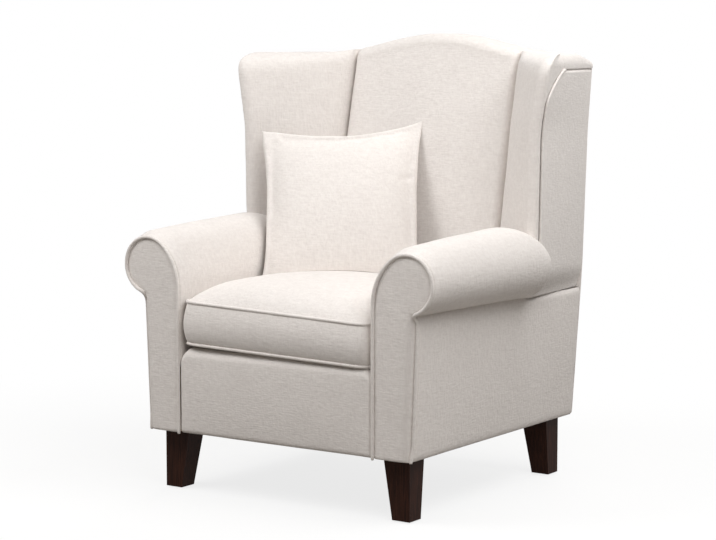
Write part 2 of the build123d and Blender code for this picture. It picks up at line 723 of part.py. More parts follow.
with BuildPart() as outer_back_panel:
    with BuildSketch(RAKED):
        with BuildLine():
            heights = (LEG_HEIGHT, *WING_HEIGHTS[:3], WING_PANEL_TOP)
            right_edge = [(side_half(z), up_slope(z)) for z in heights]
            shares = (1.0, 0.7, 0.35, 0.0, -0.35, -0.7, -1.0)
            top_half = side_half(WING_PANEL_TOP)
            top_drop = WING_HEIGHT - WING_PANEL_TOP
            top_places = [top_half * share for share in shares]
            top_edge = [(x, up_slope(crest_z(x) - top_drop)) for x in top_places]
            Polyline(*right_edge)
            Spline(*top_edge)
            Polyline(*[(-x, y) for x, y in reversed(right_edge)])
            Line((-right_edge[0][0], right_edge[0][1]), right_edge[0])
        make_face()
    extrude(amount=BACK_PANEL_THICK)
keep(outer_back_panel, "outer_back_panel")

# Wings: welt round the outer panel, the panel itself, the padding on the inside
with BuildPart() as wing_trim:
    with BuildSketch(Plane.YZ.offset(0)) as wing_side:
        with BuildLine():
            wing_nose_y = WING_FRONT_Y - 2 * WING_NOSE_DEPTH
            Polyline(
                (wing_nose_y, WING_HEIGHT - WING_CORNER_ROUND),
                (wing_nose_y, 0),
                (OVERALL_DEPTH, 0),
                (OVERALL_DEPTH, WING_HEIGHT),
                (wing_nose_y + WING_CORNER_ROUND, WING_HEIGHT),
            )
            RadiusArc(
                (wing_nose_y, WING_HEIGHT - WING_CORNER_ROUND),
                (wing_nose_y + WING_CORNER_ROUND, WING_HEIGHT),
                WING_CORNER_ROUND,
            )
        make_face()
    extrude(wing_side.sketch, amount=FAR)

with BuildPart() as wing_piping:
    welt_low = (*wing_front(ARM_HEIGHT), ARM_HEIGHT)
    welt_bend = (*wing_front(WING_BEND_HEIGHT), WING_BEND_HEIGHT)
    welt_corner = (*wing_front(WING_PANEL_TOP), WING_PANEL_TOP)
    rear_corner = wing_rear(WING_PANEL_TOP)
    welt_rear = (rear_corner[0], rear_corner[1] - WELT_RADIUS, WING_PANEL_TOP)
    with BuildLine() as welt_route:
        welt_radii = (WELT_BEND_RADIUS, WING_CORNER_ROUND)
        FilletPolyline(welt_low, welt_bend, welt_corner, welt_rear, radius=welt_radii)
    with BuildSketch(Plane(welt_low, z_dir=welt_route.wire() % 0)) as welt_end:
        Circle(WELT_RADIUS)
    sweep(welt_end.sketch, path=welt_route.wire())
    add(arm_pad.part, mode=Mode.SUBTRACT)
keep_pair(wing_piping, "wing_piping")

with BuildPart() as wing_outer_panel:
    loft(
        [
            wing_strip(z, 0.0, WING_PANEL_THICK, 0.0, 0.0)
            for z in (*WING_HEIGHTS[:3], WING_PANEL_TOP)
        ],
        ruled=True,
    )
    for piece in (arm_pad, side_panel, wing_piping):
        add(piece.part, mode=Mode.SUBTRACT)
keep_pair(wing_outer_panel, "wing_outer_panel")

with BuildPart() as wing_pad:
    loft([wing_section(z) for z in WING_HEIGHTS], ruled=True)
    add(wing_trim.part, mode=Mode.INTERSECT)
    with BuildSketch(Plane.XY) as below_wing:
        with Locations((TIMBER_HALF / 2, 0)):
            Rectangle(TIMBER_HALF, FAR)
    extrude(below_wing.sketch, amount=ARM_RAIL_TOP, mode=Mode.SUBTRACT)
    for piece in (arm_pad, side_panel, wing_board, back_post, crest_rail, back_hollow, wing_piping):
        add(piece.part, mode=Mode.SUBTRACT)
keep_pair(wing_pad, "wing_pad")

# Inside back: camel-back outline cut to a padded, reclined section
with BuildPart() as back_pad:
    with BuildSketch(front_view(FRONT_Y)) as back_front:
        with BuildLine():
            narrow = BACK_HALF_WIDTH - CLEARANCE
            wide = SEAT_HALF - CLEARANCE
            shares = (-1.0, -0.6, -0.3, 0.0, 0.3, 0.6, 1.0)
            crest = [(narrow * share, crest_z(narrow * share)) for share in shares]
            Spline(*crest)
            Polyline(
                crest[-1],
                (narrow, ARM_RAIL_TOP),
                (wide, ARM_RAIL_TOP),
                (wide, DECK_TOP),
                (-wide, DECK_TOP),
                (-wide, ARM_RAIL_TOP),
                (-narrow, ARM_RAIL_TOP),
                crest[0],
            )
        make_face()
    extrude(back_front.sketch, amount=-FAR)
    with BuildSketch(Plane.YZ) as back_side:
        with BuildLine():
            low = (crease_y(DECK_TOP), DECK_TOP)
            high_z = CREST_HEIGHT - CREST_ROUND
            high = (crease_y(high_z), high_z)
            middle_z = (DECK_TOP + high_z) / 2
            middle = (crease_y(middle_z) - BACK_BULGE, middle_z)
            ThreePointArc(low, middle, high)
            RadiusArc(high, (high[0] + CREST_ROUND, CREST_HEIGHT), CREST_ROUND)
            rear_low = (rear_y(DECK_TOP) - BACK_PANEL_THICK / cos(BACK_RAKE), DECK_TOP)
            rear_high = (rear_y(CREST_HEIGHT) - BACK_PANEL_THICK / cos(BACK_RAKE), CREST_HEIGHT)
            Polyline((high[0] + CREST_ROUND, CREST_HEIGHT), rear_high, rear_low, low)
        make_face()
    extrude(back_side.sketch, amount=FAR, both=True, mode=Mode.INTERSECT)
    for piece in (crest_rail, back_lower_rail, back_hollow):
        add(piece.part, mode=Mode.SUBTRACT)
keep(back_pad, "back_pad")

# Loose seat cushion: foam core, sewn cover, piping along both edges, zip in the rear border
CUSHION_HALF = SEAT_HALF - CUSHION_GAP
CUSHION_FRONT_Y = FRONT_Y + CUSHION_FRONT_SETBACK
CUSHION_REAR_Y = crease_y((CUSHION_Z + CUSHION_TOP) / 2) - BACK_BULGE - CUSHION_REAR_GAP
CUSHION_MIDDLE_Y = (CUSHION_FRONT_Y + CUSHION_REAR_Y) / 2
CUSHION_DEPTH = CUSHION_REAR_Y - CUSHION_FRONT_Y


def cushion_slice(z, shrink):
    """Rounded outline of the seat cushion at one height, drawn in by shrink all round."""
    with BuildSketch(Plane.XY.offset(z)) as face:
        with Locations((0, CUSHION_MIDDLE_Y)):
            RectangleRounded(2 * (CUSHION_HALF - shrink), CUSHION_DEPTH - 2 * shrink, CUSHION_CORNER)
    return face.sketch


def cushion_form(inset, mode=Mode.ADD):
    """Boxed cushion with a crowned top; runs inside a BuildPart block."""
    box = cushion_slice(CUSHION_Z + inset, inset)
    extrude(box, amount=CUSHION_BOX_HEIGHT - inset, mode=mode)
    crown = [
        cushion_slice(CUSHION_TOP, inset),
        cushion_slice(CUSHION_TOP + CROWN_RISE_SHARE * (CUSHION_CROWN - inset), inset + CROWN_SHOULDER),
        cushion_slice(CUSHION_TOP + CUSHION_CROWN - inset, inset + CROWN_FLAT),
    ]
    loft(crown, ruled=True, mode=mode)


with BuildPart() as seat_piping:
    for z in (CUSHION_Z + CUSHION_PIPING_RADIUS, CUSHION_TOP - CUSHION_PIPING_RADIUS):
        with BuildSketch(Plane.XY.offset(z)) as ring:
            with Locations((0, CUSHION_MIDDLE_Y)):
                RectangleRounded(2 * CUSHION_HALF, CUSHION_DEPTH, CUSHION_CORNER)
        ring_route = ring.sketch.faces()[0].outer_wire()
        start = ring_route @ 0
        with BuildSketch(Plane(start, z_dir=ring_route % 0)) as ring_end:
            Circle(CUSHION_PIPING_RADIUS)
        sweep(ring_end.sketch, path=ring_route)
keep(seat_piping, "seat_piping")

with BuildPart() as seat_cushion_cover:
    cushion_form(0.0)
    cushion_form(COVER_THICK, mode=Mode.SUBTRACT)
    add(seat_piping.part, mode=Mode.SUBTRACT)
keep(seat_cushion_cover, "seat_cushion_cover")

with BuildPart() as seat_cushion_foam:
    cushion_form(COVER_THICK + CLEARANCE)
    add(seat_piping.part, mode=Mode.SUBTRACT)
keep(seat_cushion_foam, "seat_cushion_foam")

# Zip across the rear border, with a slider that runs along its coil
ZIP_PLANE = Plane((0, CUSHION_REAR_Y, (CUSHION_Z + CUSHION_TOP) / 2), x_dir=(-1, 0, 0), z_dir=(0, 1, 0))
ZIP_LENGTH = 2 * (CUSHION_HALF - ZIP_END_MARGIN)
SLIDER_X = -ZIP_LENGTH / 2 + SLIDER_LENGTH

with BuildPart() as seat_zip:
    with BuildSketch(ZIP_PLANE) as tape:
        Rectangle(ZIP_LENGTH, ZIP_WIDTH)
    extrude(tape.sketch, amount=ZIP_THICK)
    with BuildSketch(ZIP_PLANE.offset(ZIP_THICK)) as coil:
        Rectangle(ZIP_LENGTH, ZIP_COIL_WIDTH)
    extrude(coil.sketch, amount=ZIP_COIL_THICK)
keep(seat_zip, "seat_zip")

with BuildPart() as seat_zip_slider:
    with BuildSketch(ZIP_PLANE.offset(ZIP_THICK + CLEARANCE)) as body:
        with Locations((SLIDER_X, 0)):
            Rectangle(SLIDER_LENGTH, SLIDER_WIDTH)
    extrude(body.sketch, amount=SLIDER_THICK)
    with BuildSketch(ZIP_PLANE.offset(ZIP_THICK)) as channel:
        Rectangle(ZIP_LENGTH, ZIP_COIL_WIDTH + 2 * CLEARANCE)
    extrude(channel.sketch, amount=ZIP_COIL_THICK + CLEARANCE, mode=Mode.SUBTRACT)
    with BuildSketch(ZIP_PLANE.offset(ZIP_THICK + CLEARANCE + SLIDER_THICK)) as tab:
        with Locations((SLIDER_X, SLIDER_WIDTH / 2 - TAB_LENGTH / 2)):
            Rectangle(TAB_WIDTH, TAB_LENGTH)
    extrude(tab.sketch, amount=TAB_THICK)
keep(seat_zip_slider, "seat_zip_slider")

# Loose scatter cushion: soft filling inside a sewn cover with pinched edges
PILLOW_PLANE = Plane(Location(PILLOW_CENTRE) * Location((0, 0, 0), (0, 0, PILLOW_YAW))
                     * Location((0, 0, 0), (90 - PILLOW_RECLINE, 0, 0))
                     * Location((0, 0, 0), (0, 0, PILLOW_ROLL)))


def pillow_slice(height, size, corner):
    """Rounded square across the pillow at one distance from its middle plane."""
    with BuildSketch(PILLOW_PLANE.offset(height)) as face:
        RectangleRounded(size, size, corner)
    return face.sketch


def pillow_form(inset, mode=Mode.ADD):
    """Pinched square pillow; runs inside a BuildPart block."""
    half = PILLOW_THICK / 2 - inset
    size = PILLOW_SIZE - 4 * inset
    front = [(height * half, share) for height, share in PILLOW_PROFILE_SHARES]
    rear = [(-height, share) for height, share in reversed(front[1:])]
    slices = []
    for height, share in rear + front:
        corner = PILLOW_CORNER + (1 - share) * PILLOW_BELLY_ROUND * PILLOW_SIZE
        slices.append(pillow_slice(height, share * size, corner))
    loft(slices, ruled=True, mode=mode)


with BuildPart() as pillow_cover:
    pillow_form(0.0)
    pillow_form(COVER_THICK, mode=Mode.SUBTRACT)
keep(pillow_cover, "pillow_cover")

with BuildPart() as pillow_filling:
    pillow_form(COVER_THICK + CLEARANCE)
keep(pillow_filling, "pillow_filling")
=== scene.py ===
import json
from math import cos, hypot, pi, radians, sin, sqrt, tan

import bmesh
import bpy
import numpy as np
from bpy.props import FloatProperty, FloatVectorProperty, PointerProperty
from mathutils import Matrix, Vector, noise
from mathutils.bvhtree import BVHTree


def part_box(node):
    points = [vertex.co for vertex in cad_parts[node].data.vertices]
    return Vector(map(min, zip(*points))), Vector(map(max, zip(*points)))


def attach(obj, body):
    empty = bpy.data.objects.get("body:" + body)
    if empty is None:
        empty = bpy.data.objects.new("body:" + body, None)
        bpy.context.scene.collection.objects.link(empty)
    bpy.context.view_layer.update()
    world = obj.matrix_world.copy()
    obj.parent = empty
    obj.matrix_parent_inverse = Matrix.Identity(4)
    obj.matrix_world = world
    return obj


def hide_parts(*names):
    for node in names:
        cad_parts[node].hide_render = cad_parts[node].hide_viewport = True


bl_info = {
    "name": "Wingback Chair",
    "version": (1, 0, 0),
    "blender": (4, 5, 0),
    "location": "View3D > Sidebar > Chair",
    "description": "Dresses a wingback armchair frame in woven upholstery",
    "category": "Object",
}

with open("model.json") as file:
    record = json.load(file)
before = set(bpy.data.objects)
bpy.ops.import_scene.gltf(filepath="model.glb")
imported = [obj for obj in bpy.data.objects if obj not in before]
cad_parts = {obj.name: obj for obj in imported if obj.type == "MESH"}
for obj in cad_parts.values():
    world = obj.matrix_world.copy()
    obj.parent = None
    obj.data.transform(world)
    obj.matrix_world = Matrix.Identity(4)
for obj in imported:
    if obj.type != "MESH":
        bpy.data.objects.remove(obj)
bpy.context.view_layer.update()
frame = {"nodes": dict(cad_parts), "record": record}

# Places read from the frame, in metres. Right-hand nodes are read, the left side mirrors them.
DUST_LOW, DUST_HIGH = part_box("dust_cover")
DECK_LOW, DECK_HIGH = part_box("seat_deck")
SIDE_LOW, SIDE_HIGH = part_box("side_panel_right")
PIPING_LOW, PIPING_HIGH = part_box("arm_piping_right")
FACING_REAR_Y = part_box("arm_facing_right")[1].y
ARM_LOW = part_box("arm_pad_right")[0]
WING_LOW, WING_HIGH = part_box("wing_pad_right")
WING_PANEL_LOW, WING_PANEL_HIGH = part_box("wing_outer_panel_right")
BACK_LOW, BACK_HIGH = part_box("back_pad")
OUTER_BACK_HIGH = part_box("outer_back_panel")[1]
BORDER_LOW, BORDER_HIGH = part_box("front_border")
RINGS_LOW, RINGS_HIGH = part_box("seat_piping")
CUSHION_LOW, CUSHION_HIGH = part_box("seat_cushion_cover")
ZIP_LOW, ZIP_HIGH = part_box("seat_zip")
PILLOW_LOW, PILLOW_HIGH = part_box("pillow_cover")

MM = 0.001
BASE_Z = DUST_LOW.z
SEAT_HALF = ARM_LOW.x
SIDE_THICK = 4.0 * MM
PANEL_THICK = 5.0 * MM
BASE_HALF = SIDE_LOW.x + SIDE_THICK
SEAM_HALF = SIDE_HIGH.x
PIPING_RADIUS = (PIPING_HIGH.y - PIPING_LOW.y) / 2
PIPING_Y = PIPING_LOW.y + PIPING_RADIUS

# Rolled arm: the scroll circle hangs from the top and the outer side of its piping, padded a little fuller
SCROLL_FRAME = 68.0 * MM
SCROLL_RADIUS = SCROLL_FRAME + 3.0 * MM
SCROLL_RISE = 50.0 * MM
SCROLL_X = PIPING_HIGH.x - SCROLL_FRAME
SCROLL_Z = PIPING_HIGH.z - SCROLL_FRAME
SCROLL_TOP = SCROLL_Z + SCROLL_RADIUS
ARM_FRONT_Y = PIPING_HIGH.y
ARM_REAR_Y = 95.0 * MM

# Below the scroll the facing wraps round the corner, and its outer piping lies on the side
NECK_Z = SCROLL_Z - SCROLL_RADIUS
WRAP_BACK = 17.0 * MM
WRAP_OUT = 5.0 * MM
WRAP_START = 12.0 * MM
WRAP_RUN = 30.0 * MM
WRAP_FOOT = 40.0 * MM

# Outside back: a raked plane through the top of its panel
BACK_RAKE = radians(2.8)
WING_TOP = WING_HIGH.z
CREST_TOP = BACK_HIGH.z
CREST_HALF_SPAN = 330.0 * MM

# Inside back and wings
BACK_HALF = SEAT_HALF - 30.0 * MM
CREASE_Y = 205.0 * MM
CREASE_Z = 620.0 * MM
BACK_SLOPE = 0.208
WING_Z = (WING_PANEL_LOW.z, WING_PANEL_LOW.z + 40 * MM, 860 * MM, WING_TOP)
WING_FRONT_HALF = (402 * MM, 426 * MM, 432 * MM, WING_HIGH.x + PANEL_THICK)
WING_REAR_HALF = (384 * MM, 386 * MM, 388 * MM, 396 * MM)
WING_FRONT_Y = 82.0 * MM
WING_NOSE_Y = WING_LOW.y
WING_SEAM_Z = WING_PANEL_LOW.z - 7.0 * MM
SLIT_Z = WING_PANEL_HIGH.z - 3.0 * MM
WING_CORNER = 56.0 * MM
WING_TOP_ROUND = 28.0 * MM

# The welt turns from the wing's front edge to the slit under its top over this height and depth
WELT_HEIGHT = 75.0 * MM
WELT_DEPTH = 92.0 * MM

# The wing's outer panel is turned under toward its lower seam
PANEL_TURN = 11.0 * MM
PANEL_TURN_HEIGHT = 70.0 * MM

# Seat cushion: its two piping rings mark its seams
RING_RADIUS = RINGS_HIGH.x - CUSHION_HIGH.x
CUSHION_MIDDLE = (CUSHION_LOW + CUSHION_HIGH) / 2
CUSHION_HALF_X = CUSHION_HIGH.x
CUSHION_HALF_Y = (CUSHION_HIGH.y - CUSHION_LOW.y) / 2
CUSHION_SEAM_Z = RINGS_HIGH.z - RING_RADIUS
CUSHION_FOOT_Z = RINGS_LOW.z + RING_RADIUS
CUSHION_CORNER = 34.0 * MM
CUSHION_BULGE = 5.0 * MM
CUSHION_FRONT_BULGE = 7.0 * MM
CROWN_EDGE = 48.0 * MM

# Lie of the seat cushion's front: its start, and for each side the lift of its foot and what its seam adds
LIE_START_Y = 50.0 * MM
LIE_REACH = 420.0 * MM
LIE_FORWARD = 6.0 * MM
LIE_LEFT = (6.0 * MM, 9.0 * MM)
LIE_RIGHT = (-6.0 * MM, 5.0 * MM)

# Lie of the scatter cushion in the corner of the seat
PILLOW_YAW = radians(27.6)
PILLOW_RECLINE = radians(26.5)
PILLOW_ROLL = radians(3.0)

# Camera fitted to the photograph, in the chair's frame
CAMERA_AZIMUTH = radians(34.43)
CAMERA_ELEVATION = radians(6.40)
CAMERA_DISTANCE = 5.085
CAMERA_AIM = Vector((0.001, -0.050, 0.519))
CAMERA_LENS = 106.1
CAMERA_SENSOR = 36.0

# Soft square lamps, aimed at the middle of the chair: place and side, in metres
LAMP_AIM = Vector((0.0, 0.0, 0.5))
LAMPS = {
    "front": ((0.7, -1.9, 3.4), 3.2),
    "left": ((-1.4, -1.6, 2.4), 1.6),
    "right": ((1.9, -1.5, 2.2), 1.6),
    "side": ((1.5, 0.3, 2.6), 1.6),
    "rear": ((-0.5, 2.4, 1.3), 2.0),
}
FLOOR_RADIUS = 14.0
FLOOR_FADE = (0.6, 1.9)

CHAIR = "chair_frame"
CUSHION_BODY = "seat_cushion"
PILLOW_BODY = "scatter_cushion"


def linear(code):
    """Linear colour with alpha from an sRGB hex value such as #E7DED6."""
    channels = [int(code[place:place + 2], 16) / 255 for place in (1, 3, 5)]
    return (*[c / 12.92 if c <= 0.04045 else ((c + 0.055) / 1.055) ** 2.4 for c in channels], 1.0)


def colour_prop(name, description, code):
    """Colour property with its default written as an sRGB hex value."""
    return FloatVectorProperty(name=name, description=description, subtype="COLOR", size=4, min=0, max=1,
                               default=linear(code))


def length_prop(name, description, millimetres):
    """Length property whose default is written in millimetres."""
    return FloatProperty(name=name, description=description, subtype="DISTANCE", unit="LENGTH",
                         default=millimetres * MM)


def power_prop(name, description, watts):
    """Lamp power property, in watts."""
    return FloatProperty(name=name, description=description, unit="POWER", default=watts)


class ChairCloth(bpy.types.PropertyGroup):
    """Colours and thread sizes of the upholstery and its trim."""

    pale: colour_prop("Pale thread", "Lighter thread of the cover", "#E6E0DB")
    deep: colour_prop("Deep thread", "Darker thread of the cover", "#DBD4CF")
    lining: colour_prop("Lining", "Cloth of the seat deck", "#CFC6BB")
    dust: colour_prop("Dust cloth", "Cloth under the seat", "#1B1A1A")
    thread: length_prop("Thread spacing", "Distance from one thread to the next", 4.0)
    mottle: length_prop("Mottle", "Size of the light and dark patches of nap", 10.0)
    cloud: length_prop("Cloud", "Size of the broad brushed patches", 70.0)
    nap_height: length_prop("Nap height", "Height of the nap's bump", 1.1)


class ChairPadding(bpy.types.PropertyGroup):
    """How full each padded piece is."""

    arm_swell: length_prop("Arm swell", "How far the roll stands proud of its facing", 10.0)
    arm_lift: length_prop("Arm lift", "How much the roll grows to the rear", 19.0)
    facing_dome: length_prop("Facing dome", "How far an arm facing stands out in its middle", 3.5)
    wing_bulge: length_prop("Wing bulge", "Fullness of the inside of a wing", 13.0)
    back_bulge: length_prop("Back bulge", "Fullness of the inside back", 16.0)
    panel_bulge: length_prop("Panel bulge", "Fullness of the flat outside panels", 3.0)
    border_bulge: length_prop("Border bulge", "Fullness of the front border", 5.0)
    cushion_crown: length_prop("Cushion crown", "Rise of the seat cushion's top", 54.0)
    pillow_size: length_prop("Scatter cushion", "Side of the scatter cushion as sewn", 426.0)
    pillow_thick: length_prop("Scatter cushion thickness", "Thickness in the middle", 140.0)
    unevenness: length_prop("Unevenness", "Hand-made unevenness of padded surfaces", 1.1)


class ChairWood(bpy.types.PropertyGroup):
    """Colours and grain of the timber."""

    leg: colour_prop("Leg", "Dark stained wood of the legs", "#3A2219")
    leg_dark: colour_prop("Leg grain", "Darker grain lines of the legs", "#21120D")
    beech: colour_prop("Beech", "Planed timber of the hidden frame", "#C9A273")
    grain: length_prop("Grain", "Distance between grain lines", 3.0)
    leg_round: length_prop("Leg edge", "Rounding of the legs' edges", 1.6)


class ChairStage(bpy.types.PropertyGroup):
    """Floor and lamps."""

    floor: colour_prop("Floor", "Pale studio floor", "#F4F3F1")
    bounce: colour_prop("Floor bounce", "Colour of the light that the floor throws back", "#8E8983")
    world: FloatProperty(name="Fill", description="Strength of the even light from all round", default=0.12)
    front: power_prop("Front", "Power of the high front lamp", 10.0)
    left: power_prop("Left", "Power of the front left lamp", 47.0)
    right: power_prop("Right", "Power of the front right lamp", 32.0)
    side: power_prop("Side", "Power of the right side lamp", 39.0)
    rear: power_prop("Rear", "Power of the low rear lamp", 28.0)
    floor_glow: FloatProperty(name="Floor glow", description="Share of plain white in the floor as seen",
                              default=0.8)


def smooth(share):
    """Ease numbers from 0 to 1."""
    share = np.clip(share, 0.0, 1.0)
    return share * share * (3 - 2 * share)


def ease(share):
    """Ease one number from 0 to 1."""
    return float(smooth(share))


def eased_table(z, heights, values, reach=25 * MM):
    """Table value at height z with its corners rounded over a short reach."""
    return float(np.mean([np.interp(z + step * reach, heights, values) for step in (-1, -0.5, 0, 0.5, 1)]))


def rear_y(z):
    """Outer face of the outside back at height z."""
    return OUTER_BACK_HIGH.y - (OUTER_BACK_HIGH.z - z) * tan(BACK_RAKE)


def crease_y(z):
    """Front of the inside back where it meets the wings."""
    return CREASE_Y + BACK_SLOPE * (z - CREASE_Z)


def crest_z(x):
    """Camel-back top line of the inside back."""
    share = min(abs(x) / CREST_HALF_SPAN, 1.0)
    return WING_TOP + (CREST_TOP - WING_TOP) * cos(pi / 2 * share) ** 2


def wing_front_x(z):
    """Outer half width of the wing at its front edge."""
    return eased_table(z, WING_Z, WING_FRONT_HALF)


def wing_rear_x(z):
    """Outer half width of the wing at its rear edge."""
    return eased_table(z, WING_Z, WING_REAR_HALF)


def wing_outer_x(y, z):
    """Outer plane of the wing at a depth and height."""
    front, rear = wing_front_x(z), wing_rear_x(z)
    return front + (rear - front) * (y - WING_FRONT_Y) / (rear_y(z) - WING_FRONT_Y)


def welt_y(z):
    """Depth of the wing's welt at height z: straight up, then round the corner to the slit."""
    share = min(max((z - SLIT_Z) / WELT_HEIGHT + 1, 0.0), 1.0)
    return WING_FRONT_Y + WELT_DEPTH * (1 - (1 - share ** 1.3) ** (1 / 1.3))


def panel_turn(z):
    """How far the wing's outer panel is turned under toward its lower seam at height z."""
    return PANEL_TURN * (1 - ease((z - WING_SEAM_Z) / PANEL_TURN_HEIGHT)) ** 1.6


def side_x(z):
    """Outer face of the base's side at height z."""
    return float(np.interp(z, (BASE_Z, WING_PANEL_LOW.z), (BASE_HALF, SEAM_HALF)))


def wrap(z):
    """Share by which the facing wraps round to the side at height z, less at the neck and at the foot."""
    foot = ease(1 - (z - BASE_Z) / WRAP_FOOT)
    return ease((NECK_Z + WRAP_START - z) / WRAP_RUN) * (1 - 0.25 * foot)


def arc(centre, radius, start, end, count):
    """Points on an arc in a plane, from one angle to another."""
    angles = np.linspace(start, end, count)
    return [(centre[0] + radius * cos(a), centre[1] + radius * sin(a)) for a in angles]


def scroll_line(radius, centre_z, inner, seam_x, low):
    """Scroll of the arm in front view: up the inside, round the roll, to the seam on the outside."""
    reach = SCROLL_X - inner
    bend = (reach ** 2 + SCROLL_RISE ** 2 - radius ** 2) / (2 * (reach - radius))
    bend_centre = (inner + bend, centre_z - SCROLL_RISE)
    turn = np.arctan2(SCROLL_RISE, SCROLL_X - bend_centre[0])
    seam_angle = -np.arccos((seam_x - SCROLL_X) / radius)
    wall = [(inner, z) for z in np.linspace(low, bend_centre[1], 14)[:-1]]
    inside = arc(bend_centre, bend, pi, turn, 16)
    return wall + inside[:-1] + arc((SCROLL_X, centre_z), radius, turn, seam_angle, 34)


def facing_line(inset):
    """Outline of an arm facing, set in from the outside of its piping."""
    return scroll_line(SCROLL_RADIUS - inset, SCROLL_Z, SEAT_HALF + inset, SEAM_HALF - inset, BASE_Z)


def outward(line):
    """Outward normals of a line of plane points that runs clockwise round its padding."""
    along = np.gradient(np.asarray(line, float), axis=0)
    along /= np.linalg.norm(along, axis=1, keepdims=True)
    return np.stack([-along[:, 1], along[:, 0]], axis=1)


def soft_ring(corners, count):
    """Closed smooth curve of count points drawn inside a polygon of corner points."""
    corners = np.asarray(corners, float)
    places = np.arange(count) / count * len(corners)
    start = np.floor(places).astype(int)
    t = (places - start)[:, None]
    a, b, c, d = (corners[(start + step) % len(corners)] for step in (-1, 0, 1, 2))
    return ((1 - t) ** 3 * a + (3 * t ** 3 - 6 * t ** 2 + 4) * b
            + (-3 * t ** 3 + 3 * t ** 2 + 3 * t + 1) * c + t ** 3 * d) / 6


def mesh_object(name, points, faces, finish):
    """New smooth-shaded mesh with outward normals and caps in triangles, named as cloth over a node."""
    name = f"{name}_cloth"
    mesh = bpy.data.meshes.new(name)
    mesh.from_pydata([tuple(p) for p in points], [], faces)
    work = bmesh.new()
    work.from_mesh(mesh)
    bmesh.ops.remove_doubles(work, verts=work.verts, dist=0.02 * MM)
    bmesh.ops.recalc_face_normals(work, faces=work.faces)
    caps = [face for face in work.faces if len(face.verts) > 4]
    bmesh.ops.triangulate(work, faces=caps)
    work.to_mesh(mesh)
    work.free()
    mesh.polygons.foreach_set("use_smooth", [True] * len(mesh.polygons))
    mesh.materials.append(finish)
    made = bpy.data.objects.new(name, mesh)
    bpy.context.scene.collection.objects.link(made)
    return made


def loft(rings):
    """Points and faces of a closed skin through equal rings of points, capped at both ends."""
    rings = np.asarray(rings, float)
    count, around = rings.shape[:2]
    faces = []
    for row in range(count - 1):
        for place in range(around):
            after = (place + 1) % around
            faces.append((row * around + place, row * around + after,
                          (row + 1) * around + after, (row + 1) * around + place))
    points = list(rings.reshape(-1, 3))
    for row in (0, count - 1):
        faces.append(tuple(row * around + place for place in range(around)))
    return points, faces


def slab(front, back):
    """Points and faces of a closed panel between two equal grids of points."""
    front, back = np.asarray(front, float), np.asarray(back, float)
    rows, columns = front.shape[:2]
    size = rows * columns
    faces = []
    for row in range(rows - 1):
        for column in range(columns - 1):
            corner = row * columns + column
            quad = (corner, corner + 1, corner + columns + 1, corner + columns)
            faces.append(quad)
            faces.append(tuple(size + place for place in reversed(quad)))
    edge = list(range(columns))
    edge += [row * columns + columns - 1 for row in range(1, rows)]
    edge += [(rows - 1) * columns + column for column in range(columns - 2, -1, -1)]
    edge += [row * columns for row in range(rows - 2, 0, -1)]
    for place, start in enumerate(edge):
        end = edge[(place + 1) % len(edge)]
        faces.append((end, start, size + start, size + end))
    return list(front.reshape(-1, 3)) + list(back.reshape(-1, 3)), faces


def panel(levels, stations, skin):
    """Points and faces of a closed panel whose two faces a function gives for each level and station."""
    rows = [[skin(level, station) for station in stations] for level in levels]
    front, back = ([[both[face] for both in row] for row in rows] for face in (0, 1))
    return slab(front, back)


def tube(path, radius, closed=False, sides=10):
    """Points and faces of a round cord along a path, with domed ends where it is open."""
    path = [Vector(p) for p in path]
    count = len(path)
    rings = []
    across = None
    for place, point in enumerate(path):
        before = path[place - 1] if place or closed else point
        after = path[(place + 1) % count] if place + 1 < count or closed else point
        along = (after - before).normalized()
        if across is None:
            across = along.orthogonal().normalized()
        across = (across - along * across.dot(along)).normalized()
        beside = along.cross(across)
        turns = [2 * pi * side / sides for side in range(sides)]
        rings.append([point + radius * (cos(t) * across + sin(t) * beside) for t in turns])
    rings = np.array([[tuple(p) for p in ring] for ring in rings])
    if closed:
        return closed_tube(rings)
    start, end = np.array(path[0]), np.array(path[-1])
    tip_in = start + 0.6 * (rings[0] - start) + np.array((path[0] - path[1]).normalized()) * radius * 0.5
    tip_out = end + 0.6 * (rings[-1] - end) + np.array((path[-1] - path[-2]).normalized()) * radius * 0.5
    return loft(np.concatenate([[tip_in], rings, [tip_out]]))


def closed_tube(rings):
    """Skin of a tube whose last ring joins its first, turned to meet it."""
    count, sides = rings.shape[:2]
    shift = int(np.argmin([np.linalg.norm(np.roll(rings[0], -s, axis=0) - rings[-1]) for s in range(sides)]))
    faces = []
    for row in range(count):
        last = row == count - 1
        for side in range(sides):
            after = (side + 1) % sides
            low = shift if last else 0
            up = 0 if last else row + 1
            faces.append((row * sides + side, row * sides + after,
                          up * sides + (after + low) % sides, up * sides + (side + low) % sides))
    return list(rings.reshape(-1, 3)), faces


def mirrored(points):
    """The same points on the other side of the chair."""
    return [(-p[0], p[1], p[2]) for p in points]


def move_points(made, points):
    """Put a mesh's points at new places."""
    made.data.vertices.foreach_set("co", np.asarray(points, np.float32).ravel())
    made.data.update()


def uneven(made, amount, patch=95 * MM):
    """Hand-made unevenness: moves points a little along their normals, by place alone."""
    moved = []
    for point, normal in [(v.co.copy(), v.normal.copy()) for v in made.data.vertices]:
        place = point / patch
        swell = noise.noise(place) + 0.45 * noise.noise(place * 2.7 + Vector((7.1, 3.3, 5.9)))
        moved.append(point + normal * swell * amount)
    move_points(made, moved)


def subdivide(made):
    """One level of subdivision surface on a piece."""
    step = made.modifiers.new("subdivision", "SUBSURF")
    step.levels = 1
    step.render_levels = 1


def place_piece(made, body, slot, stands_for, fill=None):
    """Tie a finished piece to its body and hide the nodes it stands for; its material slot is not used."""
    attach(made, body)
    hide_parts(*stands_for)


